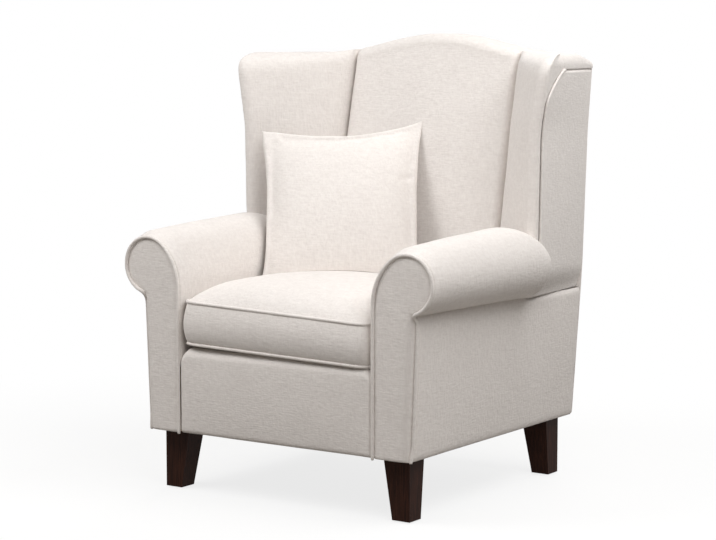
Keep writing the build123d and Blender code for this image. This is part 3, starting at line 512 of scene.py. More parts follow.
def upholster(name, points, faces, fill=None, roughen=0.0, finish="cream_chenille", slot="upholstery"):
    """One cloth piece of the chair over the node of its name, a little uneven, then subdivided."""
    made = mesh_object(name, points, faces, finish_named(finish))
    if roughen:
        uneven(made, roughen)
    subdivide(made)
    place_piece(made, CHAIR, slot, [name], fill)


def pair(name, points, faces, fill=None, roughen=0.0):
    """Right and left copies of one upholstered piece of the chair."""
    for side, shape in (("right", points), ("left", mirrored(points))):
        upholster(f"{name}_{side}", shape, faces, fill, roughen)


def feed(tree, node, inputs):
    """Set a node's inputs, and link those that are given another node's output."""
    for name, value in inputs.items():
        if isinstance(value, bpy.types.NodeSocket):
            tree.links.new(value, node.inputs[name])
        else:
            node.inputs[name].default_value = value


def add_node(tree, kind, inputs=None, **settings):
    """Add one shader node with its settings, values and links."""
    made = tree.nodes.new(kind)
    for name, value in settings.items():
        setattr(made, name, value)
    feed(tree, made, inputs or {})
    return made


def new_material(name):
    """Empty material with its tree, its shader and the places that patterns follow."""
    made = bpy.data.materials.new(name)
    made.use_nodes = True
    tree = made.node_tree
    place = add_node(tree, "ShaderNodeTexCoord").outputs["Object"]
    return made, tree, tree.nodes["Principled BSDF"], place


def chenille(name, pale, deep):
    """Woven chenille: soft tufted threads that cross, with a brushed nap that lies in patches.

    Gives the eye a matt cream with a fine crosswise grain, a light mottle and a pale edge where the nap is
    seen side on. The threads are drawn a little coarser than life so that they show at this size.
    """
    cloth = bpy.context.scene.chair_cloth
    made, tree, shader, place = new_material(name)
    threads = []
    for stretch in ((0.22, 0.22, 1.0), (1.0, 1.0, 0.22)):
        run = add_node(tree, "ShaderNodeMapping", {"Vector": place, "Scale": stretch}).outputs[0]
        noisy = {"Vector": run, "Scale": 1 / cloth.thread, "Detail": 2.0}
        threads.append(add_node(tree, "ShaderNodeTexNoise", noisy).outputs[0])
    noisy = {"Vector": place, "Scale": 1 / cloth.mottle, "Detail": 3.0}
    mottle = add_node(tree, "ShaderNodeTexNoise", noisy).outputs[0]
    noisy = {"Vector": place, "Scale": 1 / cloth.cloud, "Detail": 2.0}
    cloud = add_node(tree, "ShaderNodeTexNoise", noisy).outputs[0]
    cross = add_node(tree, "ShaderNodeMath", {0: threads[0], 1: threads[1]}, operation="ADD").outputs[0]
    nap = {0: cloud, 1: 0.35, 2: mottle}
    patches = add_node(tree, "ShaderNodeMath", nap, operation="MULTIPLY_ADD").outputs[0]
    both = add_node(tree, "ShaderNodeMath", {0: cross, 1: patches}, operation="ADD").outputs[0]
    span = {"Value": both, "From Min": 1.25, "From Max": 2.10}
    share = add_node(tree, "ShaderNodeMapRange", span).outputs[0]
    tint = add_node(tree, "ShaderNodeMix", {"Factor": share, "A": deep, "B": pale}, data_type="RGBA")
    raised = add_node(tree, "ShaderNodeMath", {0: cross, 1: mottle}, operation="ADD").outputs[0]
    height = {"Height": raised, "Strength": 0.65, "Distance": cloth.nap_height}
    bump = add_node(tree, "ShaderNodeBump", height)
    feed(tree, shader, {"Base Color": tint.outputs["Result"], "Normal": bump.outputs[0], "Roughness": 0.92,
                        "Specular IOR Level": 0.25, "Sheen Weight": 0.18, "Sheen Roughness": 0.55})
    return made


def plain_cloth(name, colour, spacing, roughness=0.95):
    """Plain woven or bonded cloth: a dull surface with a fine even grain."""
    made, tree, shader, place = new_material(name)
    noisy = {"Vector": place, "Scale": 1 / spacing, "Detail": 3.0}
    grain = add_node(tree, "ShaderNodeTexNoise", noisy).outputs[0]
    dark = tuple(0.72 * c for c in colour[:3]) + (1.0,)
    tint = add_node(tree, "ShaderNodeMix", {"Factor": grain, "A": dark, "B": colour}, data_type="RGBA")
    bump = add_node(tree, "ShaderNodeBump", {"Height": grain, "Strength": 0.4, "Distance": 0.3 * MM})
    feed(tree, shader, {"Base Color": tint.outputs["Result"], "Normal": bump.outputs[0],
                        "Roughness": roughness})
    return made


def timber(name, light, dark, grain, roughness, gloss=0.4):
    """Planed wood: long grain lines with slow colour drift, open pores as a light bump."""
    made, tree, shader, place = new_material(name)
    run = add_node(tree, "ShaderNodeMapping", {"Vector": place, "Scale": (1.0, 1.0, 0.06)}).outputs[0]
    noisy = {"Vector": run, "Scale": 1 / grain, "Detail": 4.0, "Distortion": 0.6}
    lines = add_node(tree, "ShaderNodeTexNoise", noisy).outputs[0]
    tint = add_node(tree, "ShaderNodeValToRGB", {"Fac": lines})
    for stop, share, colour in zip(tint.color_ramp.elements, (0.35, 0.68), (dark, light)):
        stop.position = share
        stop.color = colour
    bump = add_node(tree, "ShaderNodeBump", {"Height": lines, "Strength": 0.25, "Distance": 0.2 * MM})
    feed(tree, shader, {"Base Color": tint.outputs["Color"], "Normal": bump.outputs[0],
                        "Roughness": roughness, "Specular IOR Level": gloss})
    return made


def metal(name, colour, roughness, scratch):
    """Drawn or plated metal: a clear metallic sheen broken by fine marks."""
    made, tree, shader, place = new_material(name)
    noisy = {"Vector": place, "Scale": 1 / scratch, "Detail": 4.0}
    marks = add_node(tree, "ShaderNodeTexNoise", noisy).outputs[0]
    shine = add_node(tree, "ShaderNodeMapRange",
                     {"Value": marks, "To Min": roughness - 0.08, "To Max": roughness + 0.12})
    bump = add_node(tree, "ShaderNodeBump", {"Height": marks, "Strength": 0.1, "Distance": 0.05 * MM})
    feed(tree, shader, {"Base Color": colour, "Metallic": 1.0, "Roughness": shine.outputs[0],
                        "Normal": bump.outputs[0]})
    return made


def finish_named(name):
    """Material by name, made on first use."""
    if name in bpy.data.materials:
        return bpy.data.materials[name]
    cloth, wood = bpy.context.scene.chair_cloth, bpy.context.scene.chair_wood
    makers = {
        "cream_chenille": lambda: chenille(name, cloth.pale, cloth.deep),
        "deck_lining": lambda: plain_cloth(name, cloth.lining, 1.5 * MM),
        "spunbond_dust_cloth": lambda: plain_cloth(name, cloth.dust, 2.0 * MM),
        "zip_tape_twill": lambda: plain_cloth(name, linear("#DDD5CC"), 1.0 * MM),
        "elastic_webbing": lambda: plain_cloth(name, linear("#4A4A4C"), 2.0 * MM),
        "stained_wenge": lambda: timber(name, wood.leg, wood.leg_dark, wood.grain, 0.5, gloss=0.06),
        "planed_beech": lambda: timber(name, wood.beech, linear("#A67C4E"), wood.grain, 0.6),
        "sanded_plywood": lambda: timber(name, linear("#D3B384"), linear("#B08C5C"), 2.0 * MM, 0.65),
        "oiled_spring_steel": lambda: metal(name, linear("#6E6F72"), 0.38, 1.0 * MM),
        "zinc_plated_steel": lambda: metal(name, linear("#C2C5C8"), 0.32, 1.0 * MM),
        "brass_zip": lambda: metal(name, linear("#B9A06A"), 0.3, 0.8 * MM),
        "moulded_glide": lambda: plain_cloth(name, linear("#2A2624"), 1.2 * MM, roughness=0.5),
    }
    return makers[name]()


def arm_line(y):
    """Front view of an arm at one depth: the roll grows to the rear and keeps its lower seam level."""
    pad = bpy.context.scene.chair_padding
    share = (y - ARM_FRONT_Y) / (ARM_REAR_Y - ARM_FRONT_Y)
    tuck = 2 * MM
    top = SCROLL_TOP - tuck + (pad.arm_swell + tuck) * ease(share / 0.08 + 0.1)
    top += pad.arm_lift * float(np.interp(share, (0, 0.4, 0.8, 1), (0, 0.55, 0.95, 1)))
    seam_x = SEAM_HALF + 10 * MM * ease((share - 0.7) / 0.3)
    seam_z = NECK_Z + 2.3 * MM - 6 * MM * share
    height, over = top - seam_z, seam_x - SCROLL_X
    radius = (height ** 2 + over ** 2) / (2 * height)
    return np.array(scroll_line(radius, top - radius, SEAT_HALF, seam_x, ARM_LOW.z))


def arm_ring(y):
    """Closed section of an arm pad at one depth, its rear end rounded over, most of all at the top."""
    line = arm_line(y)
    normal = outward(line)
    upward = np.maximum(normal[:, 1], 0) ** 1.5
    length = 12 * MM + 120 * MM * upward
    depth = 9 * MM + 36 * MM * upward
    into = np.clip(1 - (ARM_REAR_Y - y) / length, 0, 1)
    line = line - normal * (depth * (1 - np.sqrt(1 - into ** 2)))[:, None]
    seam = line[-1]
    inside = [(seam[0] - 18 * MM, seam[1] + 6 * MM), (SIDE_LOW.x - 30 * MM, seam[1] + 30 * MM),
              (SEAT_HALF + 28 * MM, seam[1] + 10 * MM), (SEAT_HALF + 28 * MM, ARM_LOW.z)]
    return [(x, y, z) for x, z in [*line, *inside]]


class CHAIR_OT_arms(bpy.types.Operator):
    """Pad both rolled arms from the facing to the wing."""

    bl_idname = "chair.arms"
    bl_label = "Arm pads"

    def execute(self, context):
        pad = context.scene.chair_padding
        turn_y = ARM_REAR_Y - 132 * MM
        depths = list(np.linspace(ARM_FRONT_Y - 2 * MM, ARM_FRONT_Y + 40 * MM, 10))
        depths += list(np.linspace(ARM_FRONT_Y + 40 * MM, turn_y, 18)[1:])
        depths += [turn_y + (ARM_REAR_Y - turn_y) * sin(a) for a in np.linspace(0, pi / 2, 24)[1:]]
        pair("arm_pad", *loft([arm_ring(y) for y in depths]), fill=0.85, roughen=pad.unevenness)
        return {"FINISHED"}


class CHAIR_OT_facings(bpy.types.Operator):
    """Scroll-shaped facings on the arm fronts, with piping round them."""

    bl_idname = "chair.facings"
    bl_label = "Arm facings and piping"

    def execute(self, context):
        self.facing(context.scene.chair_padding)
        self.piping()
        return {"FINISHED"}

    def facing(self, pad):
        """Domed panel inside the piping, its outer edge wrapped round the corner."""
        inset = 1.3 * PIPING_RADIUS
        dome_edge, thin, tuck = 8 * MM, 2 * MM, 3.5 * MM
        line = facing_line(inset)
        foot = (BASE_HALF - inset, BASE_Z)
        top = int(np.argmax([z for x, z in line]))
        outline = np.array([*line, foot])
        inner, outer = np.array(line[:top + 1]), np.array([foot, *reversed(line[top:])])

        def skin(z, share):
            left, right = (np.interp(z, edge[:, 1], edge[:, 0]) for edge in (inner, outer))
            x = left + (right - left) * share
            gap = np.hypot(outline[:, 0] - x, outline[:, 1] - z).min()
            dome = pad.facing_dome * (1 - np.exp(-gap / dome_edge))
            turn = min(max(1 - (right - x) / WRAP_BACK, 0.0), 1.0)
            y = PIPING_Y + tuck - dome + WRAP_BACK * wrap(z) * (1 - sqrt(1 - turn ** 2))
            x += (WRAP_OUT - thin) * wrap(z) * turn
            return (x, y, z), (x, max(FACING_REAR_Y, y + thin), z)

        heights = BASE_Z + (line[top][1] - BASE_Z) * np.sin(np.linspace(0, pi / 2, 60)) ** 1.15
        points, faces = panel(heights, np.sin(np.linspace(0, pi / 2, 26)), skin)
        pair("arm_facing", points, faces, fill=0.9, roughen=0.5 * pad.unevenness)

    def piping(self):
        """Piping round the scroll, bent into the outer seam and led down it to the foot."""
        route = [(x, PIPING_Y, z) for x, z in facing_line(PIPING_RADIUS)]
        before, seam = Vector(route[-3]), Vector(route[-1])
        foot = Vector((BASE_HALF - PIPING_RADIUS, PIPING_Y, BASE_Z))
        after = seam + (foot - seam).normalized() * 14 * MM
        route = route[:-3] + [tuple((1 - s) ** 2 * before + 2 * s * (1 - s) * seam + s ** 2 * after)
                              for s in np.linspace(0, 1, 9)]
        route += [tuple(after.lerp(foot, s)) for s in np.linspace(0, 1, 40)[1:]]
        outer_x = SEAM_HALF - 20 * MM
        route = [(x + WRAP_OUT * wrap(z), y + WRAP_BACK * wrap(z), z) if x > outer_x else (x, y, z)
                 for x, y, z in route]
        pair("arm_piping", *tube(route, PIPING_RADIUS))


def wing_ring(z, inset, nose_back, closed=0.0):
    """Closed plan section of a wing: round the crease, along the inner face, round the nose, back outside.

    The outside is flush in front of the welt and above the slit, and lies behind the outer panel elsewhere.
    """
    pad = bpy.context.scene.chair_padding
    front_x, rear = wing_front_x(z), rear_y(z) - 4 * MM
    within = side_x(z) - SIDE_THICK - 4 * MM if z < WING_SEAM_Z + 12 * MM else front_x
    front_x = min(front_x, within)
    front_y = WING_NOSE_Y + nose_back
    crease = np.array((BACK_HALF + 3 * MM, crease_y(z)))
    nose = np.array((front_x - 46 * MM, front_y + 20 * MM))
    span = nose - crease
    normal = np.array((span[1], -span[0])) / np.linalg.norm(span)
    corners = [(crease[0], crease[1] + 60 * MM), (crease[0], crease[1] + 14 * MM),
               (crease[0] + 6 * MM, crease[1] - 4 * MM)]
    for share in (0.16, 0.36, 0.58, 0.8):
        full = pad.wing_bulge * (1 - (2 * share - 1) ** 2) ** 0.6
        corners.append(tuple(crease + span * share + normal * full))
    corners += [(front_x - 42 * MM, front_y + 13 * MM), (front_x - 30 * MM, front_y - 1 * MM),
                (front_x - 14 * MM, front_y - 4 * MM), (front_x - 3 * MM, front_y - 1 * MM)]
    welt = max(welt_y(z), front_y + 14 * MM)
    below = z < SLIT_Z
    for y in np.linspace(front_y + 3 * MM, welt - 8 * MM, 6):
        corners.append((min(wing_outer_x(y, z) - 0.8 * MM, within), y))
    corners.append((min(wing_outer_x(welt, z) - (5 * MM if below else 0.5 * MM), within), welt - 4 * MM))
    sunk = PANEL_THICK + 1 * MM + panel_turn(z) if below else -1 * MM
    for y in np.linspace(welt + 4 * MM, rear - 8 * MM, 13):
        corners.append((min(wing_outer_x(y, z) - sunk, within), y))
    rear_x = corners[-1][0]
    corners += [(rear_x, rear - 3 * MM), (rear_x - 4 * MM, rear), (rear_x - 40 * MM, rear),
                (crease[0] + 26 * MM, rear), (crease[0] - 7 * MM, rear),
                (crease[0] - 5 * MM, rear - 45 * MM)]
    ring = soft_ring(corners, 150)
    return [(x, y, z) for x, y in wing_inset(ring, inset, nose, crease, rear, closed)]


def wing_inset(ring, inset, nose, crease, rear, closed):
    """Draw a wing's section in to its middle line, by a depth where it is free and by a share."""
    start = nose + np.array((20 * MM, 26 * MM))
    way = np.array((crease[0] + 75 * MM, rear - 60 * MM)) - start
    along = np.clip((ring - start) @ way / (way @ way), 0, 1)
    inward = start + along[:, None] * way - ring
    gap = np.linalg.norm(inward, axis=1)
    free = smooth((ring[:, 0] - crease[0] - 2 * MM) / (14 * MM))
    share = np.minimum(inset * free / np.maximum(gap, 1e-6), 0.9)
    share = share + (1 - share) * closed
    return ring + inward * share[:, None]


class CHAIR_OT_wings(bpy.types.Operator):
    """Padded wings with their outer panels and the welt along the front edge."""

    bl_idname = "chair.wings"
    bl_label = "Wings"

    def execute(self, context):
        pad = context.scene.chair_padding
        heights = list(np.linspace(BACK_LOW.z, WING_SEAM_Z, 12))
        heights += list(np.linspace(WING_SEAM_Z + 5 * MM, SLIT_Z - 8 * MM, 60))
        heights += [SLIT_Z - 3 * MM, SLIT_Z - 0.5 * MM, SLIT_Z + 0.5 * MM, SLIT_Z + 3 * MM]
        heights += list(np.linspace(SLIT_Z + 6 * MM, WING_TOP - WING_TOP_ROUND, 4))
        rings = [wing_ring(z, 0.0, self.nose_back(z)) for z in heights]
        for turn in np.linspace(0, pi / 2, 12)[1:]:
            z = WING_TOP - WING_TOP_ROUND * (1 - sin(turn))
            rings.append(wing_ring(z, WING_TOP_ROUND * (1 - cos(turn)), self.nose_back(z)))
        for closed in (0.22, 0.45, 0.68, 0.88):
            rings.append(wing_ring(WING_TOP, WING_TOP_ROUND, self.nose_back(WING_TOP), closed))
        points, faces = loft(rings)
        points = [(x, y, z + self.top_rise(x, y, z)) for x, y, z in points]
        pair("wing_pad", points, faces, fill=0.8, roughen=pad.unevenness)
        self.outer_panel(pad)
        self.welt()
        return {"FINISHED"}

    def nose_back(self, z):
        """How far the rounded top corner of the wing stands back from its front edge at height z."""
        above = min(max(z - (WING_TOP - WING_CORNER), 0.0), 0.97 * WING_CORNER)
        return WING_CORNER - sqrt(WING_CORNER ** 2 - above ** 2)

    def top_rise(self, x, y, z):
        """Rise of the wing's top to the crest beside the inside back, and its fall to the outside back."""
        back = ease((y - (rear_y(WING_TOP) - 95 * MM)) / (90 * MM))
        aside = ease((x - 330 * MM) / (60 * MM))
        above = max((z - SLIT_Z) / (WING_TOP - SLIT_Z), 0.0)
        return above * (crest_z(x) - WING_TOP - 14 * MM * back * aside)

    def outer_panel(self, pad):
        """Flat panel on the outside of each wing, tucked under the lip of the wing's top."""
        low, high = WING_SEAM_Z, SLIT_Z - 0.5 * MM

        def skin(z, share):
            front_y = welt_y(z) + 3 * MM
            start = Vector((wing_outer_x(front_y, z), front_y, z))
            end = Vector((wing_rear_x(z), rear_y(z) - 4 * MM, z))
            out = Vector((end.y - start.y, start.x - end.x, 0)).normalized()
            turned = panel_turn(z) + 4 * MM * (1 - ease((high - z) / (6 * MM)))
            rise = (z - low) / (high - low)
            full = pad.panel_bulge * sin(pi * share) * sin(pi * min(rise * 1.6, 1 - 0.5 * rise))
            place = start.lerp(end, share)
            return tuple(place + out * (full - turned)), tuple(place - out * (PANEL_THICK + turned))

        levels = [*np.linspace(low, low + PANEL_TURN_HEIGHT, 16),
                  *np.linspace(low + PANEL_TURN_HEIGHT + 10 * MM, high - WELT_HEIGHT, 26),
                  *(high - WELT_HEIGHT * (1 - np.linspace(0, 1, 24)[1:]) ** 1.5)]
        points, faces = panel(levels, np.linspace(0, 1, 22), skin)
        pair("wing_outer_panel", points, faces, fill=0.95)

    def welt(self):
        """Welt from the arm up the wing's front edge, round its corner and back under the lip."""
        radius = 3.5 * MM
        route = []
        for z in np.linspace(SCROLL_TOP - 20 * MM, SLIT_Z - WELT_HEIGHT, 40)[:-1]:
            route.append((wing_front_x(z) + 0.4 * MM, WING_FRONT_Y, z))
        for share in np.linspace(0, 1, 24):
            z = SLIT_Z - WELT_HEIGHT * (1 - share) ** 1.4
            route.append((wing_outer_x(welt_y(z), z) + 0.4 * MM, welt_y(z), z))
        begin, end = welt_y(SLIT_Z), rear_y(SLIT_Z) - 6 * MM
        for y in np.linspace(begin, end, 20)[1:]:
            sunk = 6.4 * MM * ease((y - begin) / (20 * MM)) - 0.4 * MM
            route.append((wing_outer_x(y, SLIT_Z) - sunk, y, SLIT_Z))
        pair("wing_piping", *tube(route, radius))


class CHAIR_OT_inside_back(bpy.types.Operator):
    """Inside back with its camel-back crest, padded and reclined."""

    bl_idname = "chair.inside_back"
    bl_label = "Inside back"

    def execute(self, context):
        pad = context.scene.chair_padding
        edge_round = 22 * MM
        half = BACK_HALF + 1 * MM
        flat = half - edge_round
        stations = [(-half + edge_round * (1 - cos(a)), edge_round * (1 - sin(a))) for a in
                    np.linspace(0.06 * pi, pi / 2, 8)]
        stations += [(x, 0.0) for x in np.linspace(-flat, flat, 42)[1:-1]]
        stations += [(-x, inset) for x, inset in reversed(stations[:8])]
        rings = [self.section(x, inset, pad.back_bulge) for x, inset in stations]
        upholster("back_pad", *loft(rings), fill=0.8, roughen=pad.unevenness)
        return {"FINISHED"}

    def section(self, x, inset, bulge):
        """Closed side view at one place across the back."""
        top = crest_z(x) - 0.12 * inset
        low = BACK_LOW.z
        crest_round = 30 * MM
        across = 1 - 0.55 * (x / BACK_HALF) ** 2
        face = []
        for z in np.linspace(low, top - crest_round, 40):
            rise = (z - low) / (top - low)
            full = bulge * across * sin(pi * min(max(rise, 0), 1)) ** 0.8
            face.append((crease_y(z) - full + inset, z))
        start = face[-1]
        crest = [(start[0] + crest_round * (1 - cos(a)), start[1] + crest_round * sin(a))
                 for a in np.linspace(0, pi / 2, 9)[1:]]
        rear = rear_y(top) - PANEL_THICK
        bend = 16 * MM
        over = [(crest[-1][0] + (rear - bend - crest[-1][0]) * s, top) for s in (0.35, 0.7, 1)]
        turn = [(rear - bend + bend * sin(a), top - bend * (1 - cos(a))) for a in (0.5, 1.0, pi / 2)]
        down = [(rear_y(z) - PANEL_THICK, z) for z in (top - 40 * MM, top - 80 * MM)]
        hollow = 700 * MM
        inside = [(rear - 30 * MM, top - 100 * MM), (crease_y(hollow) + 60 * MM, hollow),
                  (crease_y(low) + 40 * MM, low)]
        return [(x, y, z) for y, z in face + crest + over + turn + down + inside]


class CHAIR_OT_outside_panels(bpy.types.Operator):
    """Flat covers of the sides of the base and of the outside back."""

    bl_idname = "chair.outside_panels"
    bl_label = "Outside panels"

    def execute(self, context):
        pad = context.scene.chair_padding
        self.side(pad)
        self.outside_back(pad)
        return {"FINISHED"}

    def side(self, pad):
        """Side of the base up to the arm's seam and, behind, the wing's seam, its edges turned under."""
        def skin(share, part):
            top = NECK_Z + WRAP_START if part <= 1 else WING_SEAM_Z
            z = BASE_Z + (top - BASE_Z) * share
            rear = rear_y(z) - PANEL_THICK
            edge = ARM_FRONT_Y - 3 * MM + WRAP_BACK * wrap(z)
            depth = float(np.interp(part, (0, 1, 2), (edge, ARM_REAR_Y, rear)))
            along = (depth - edge) / (rear - edge)
            full = pad.panel_bulge * (sin(pi * min(max(along, 0), 1)) * sin(pi * share)) ** 0.7
            full += (WRAP_OUT - 1 * MM) * wrap(z) * (1 - ease(along / 0.35))
            turned = 3 * MM * (1 - ease(share / 0.03))
            turned += 7 * MM * (1 - ease((depth - edge) / (9 * MM)))
            turned += 6 * MM * (1 - ease((top - z) / (8 * MM)))
            return (side_x(z) + full - turned, depth, z), (side_x(z) - SIDE_THICK, depth, z)

        stations = [*(np.linspace(0, 1, 34) ** 1.4), *(1 + np.linspace(0, 1, 15)[1:])]
        points, faces = panel(np.linspace(0, 1, 40), stations, skin)
        pair("side_panel", points, faces, fill=0.95, roughen=0.4 * pad.unevenness)

    def outside_back(self, pad):
        """One panel from the base to just under the crest, its edges turned under."""
        drop = WING_TOP - SLIT_Z - 8 * MM
        half_guess = 390 * MM

        def skin(share, across):
            guess = BASE_Z + (crest_z(across * half_guess) - drop - BASE_Z) * share
            half = side_x(guess) if guess < WING_PANEL_LOW.z else wing_rear_x(guess)
            x = half * across
            z = BASE_Z + (crest_z(x) - drop - BASE_Z) * share
            turned = 3 * MM * (1 - ease(min(1 - abs(across), share, 1 - share) / 0.02))
            full = pad.panel_bulge * (cos(pi / 2 * across) * sin(pi * share)) ** 0.6
            return (x, rear_y(z) + full - turned, z), (x, rear_y(z) - PANEL_THICK, z)

        points, faces = panel(np.linspace(0, 1, 70), np.linspace(-1, 1, 50), skin)
        upholster("outer_back_panel", points, faces, fill=0.95, roughen=0.4 * pad.unevenness)


class CHAIR_OT_front_border(bpy.types.Operator):
    """Padded border below the seat cushion, rounded over at its top."""

    bl_idname = "chair.front_border"
    bl_label = "Front border"

    def execute(self, context):
        pad = context.scene.chair_padding
        high, low = BORDER_HIGH.z - 2 * MM, BASE_Z
        front_y, rear_y_line = BORDER_LOW.y, BORDER_HIGH.y
        rounding = 24 * MM
        half = SEAT_HALF + 5 * MM
        rings = []
        for x in half * np.sin(np.linspace(-pi / 2, pi / 2, 50)):
            across = 1 - (x / half) ** 6
            groove = 9 * MM * (1 - ease((half - abs(x)) / (9 * MM)))
            line = []
            top = high - 18 * MM * (1 - ease((half - abs(x)) / (36 * MM))) ** 2
            for z in np.linspace(low, top - rounding, 22):
                rise = (z - low) / (top - low)
                full = pad.border_bulge * across * sin(pi * min(rise, 1)) ** 0.7
                line.append((front_y - full + groove + 2 * MM * (1 - ease(rise / 0.04)), z))
            start = line[-1]
            line += [(start[0] + rounding * (1 - cos(a)), start[1] + rounding * sin(a))
                     for a in np.linspace(0, pi / 2, 9)[1:]]
            line += [(rear_y_line, top), (rear_y_line, low)]
            rings.append([(x, y, z) for y, z in line])
        upholster("front_border", *loft(rings), fill=0.85, roughen=0.8 * pad.unevenness)
        return {"FINISHED"}


class CHAIR_OT_seat_deck(bpy.types.Operator):
    """Lined deck over the springs, seen when the cushion is out, and the dust cloth under the seat."""

    bl_idname = "chair.seat_deck"
    bl_label = "Seat deck and dust cloth"

    def execute(self, context):
        self.deck()
        self.dust_cloth()
        return {"FINISHED"}

    def deck(self):
        """Padded deck whose top falls a little toward its edges."""
        fall, fall_width = 5 * MM, 25 * MM

        def skin(y, x):
            edge = min(x - DECK_LOW.x, DECK_HIGH.x - x, y - DECK_LOW.y, DECK_HIGH.y - y)
            return (x, y, DECK_HIGH.z - fall * (1 - ease(edge / fall_width))), (x, y, DECK_LOW.z)

        depths, widths = (np.linspace(low, high, 40) for low, high in
                          ((DECK_LOW.y, DECK_HIGH.y), (DECK_LOW.x, DECK_HIGH.x)))
        points, faces = panel(depths, widths, skin)
        upholster("seat_deck", points, faces, fill=0.8, finish="deck_lining", slot="deck_cloth")

    def dust_cloth(self):
        """Thin bonded cloth stretched under the rails, sagging a little in its middle."""
        sag, thick = 5 * MM, 1 * MM
        wide, deep = DUST_HIGH.x - DUST_LOW.x, DUST_HIGH.y - DUST_LOW.y

        def skin(v, u):
            middle = ease(4 * min(u, 1 - u) - 0.6) * ease(4 * min(v, 1 - v) - 0.6)
            x, y, z = DUST_LOW.x + wide * u, DUST_LOW.y + deep * v, DUST_LOW.z - sag * middle
            return (x, y, z), (x, y, z + thick)

        shares = np.linspace(0, 1, 30)
        points, faces = panel(shares, shares, skin)
        made = mesh_object("dust_cover", points, faces, finish_named("spunbond_dust_cloth"))
        place_piece(made, CHAIR, "dust_cloth", ["dust_cover"])


def inflate(made, sewn, pressure, cap, frames=20, stiffness=15.0):
    """Blow up a sewn piece with cloth simulation; sewn points stay, and no point moves further than cap."""
    rest = np.array([v.co for v in made.data.vertices])
    group = made.vertex_groups.new(name="sewn")
    group.add([int(i) for i in sewn], 1.0, "REPLACE")
    step = made.modifiers.new("cloth", "CLOTH")
    settings = step.settings
    settings.quality = 6
    settings.mass = 0.3
    settings.tension_stiffness = stiffness
    settings.compression_stiffness = stiffness
    settings.shear_stiffness = stiffness / 2
    settings.bending_stiffness = 0.5
    settings.use_pressure = True
    settings.uniform_pressure_force = pressure
    settings.vertex_group_mass = "sewn"
    settings.effector_weights.gravity = 0.0
    step.collision_settings.use_collision = False
    step.point_cache.frame_start = 1
    step.point_cache.frame_end = frames
    scene = bpy.context.scene
    for number in range(1, frames + 1):
        scene.frame_set(number)
    blown = made.evaluated_get(bpy.context.evaluated_depsgraph_get()).data
    moved = np.array([v.co for v in blown.vertices]) - rest
    length = np.linalg.norm(moved, axis=1, keepdims=True)
    moved *= np.minimum(1.0, cap / np.maximum(length, 1e-9))
    made.modifiers.remove(step)
    made.vertex_groups.remove(group)
    move_points(made, rest + moved)
    scene.frame_set(1)


def square_ring(half_x, half_y, corner, u, v):
    """Point of a rounded rectangle for a point u, v of the square from -1 to 1."""
    ring = max(abs(u), abs(v))
    if ring < 1e-9:
        return 0.0, 0.0
    x, y = u / ring * half_x, v / ring * half_y
    over_x, over_y = abs(x) - (half_x - corner), abs(y) - (half_y - corner)
    if over_x > 0 and over_y > 0:
        scale = corner / hypot(over_x, over_y)
        x = np.sign(x) * (half_x - corner + over_x * scale)
        y = np.sign(y) * (half_y - corner + over_y * scale)
    return x * ring, y * ring


def cushion_settle(point):
    """Lie of the loose cushion: its front stands high on the left, more so above, and sags on the right."""
    x, y, z = point
    across = min(max((x / CUSHION_HALF_X + 1) / 2, 0.0), 1.0)
    front = ease((LIE_START_Y - y) / LIE_REACH)
    rise = min(max((z - CUSHION_FOOT_Z) / (CUSHION_SEAM_Z - CUSHION_FOOT_Z), 0.0), 1.0)
    left, right = (foot + more * rise for foot, more in (LIE_LEFT, LIE_RIGHT))
    return (x, y - LIE_FORWARD * front, z + front * (left + (right - left) * across))


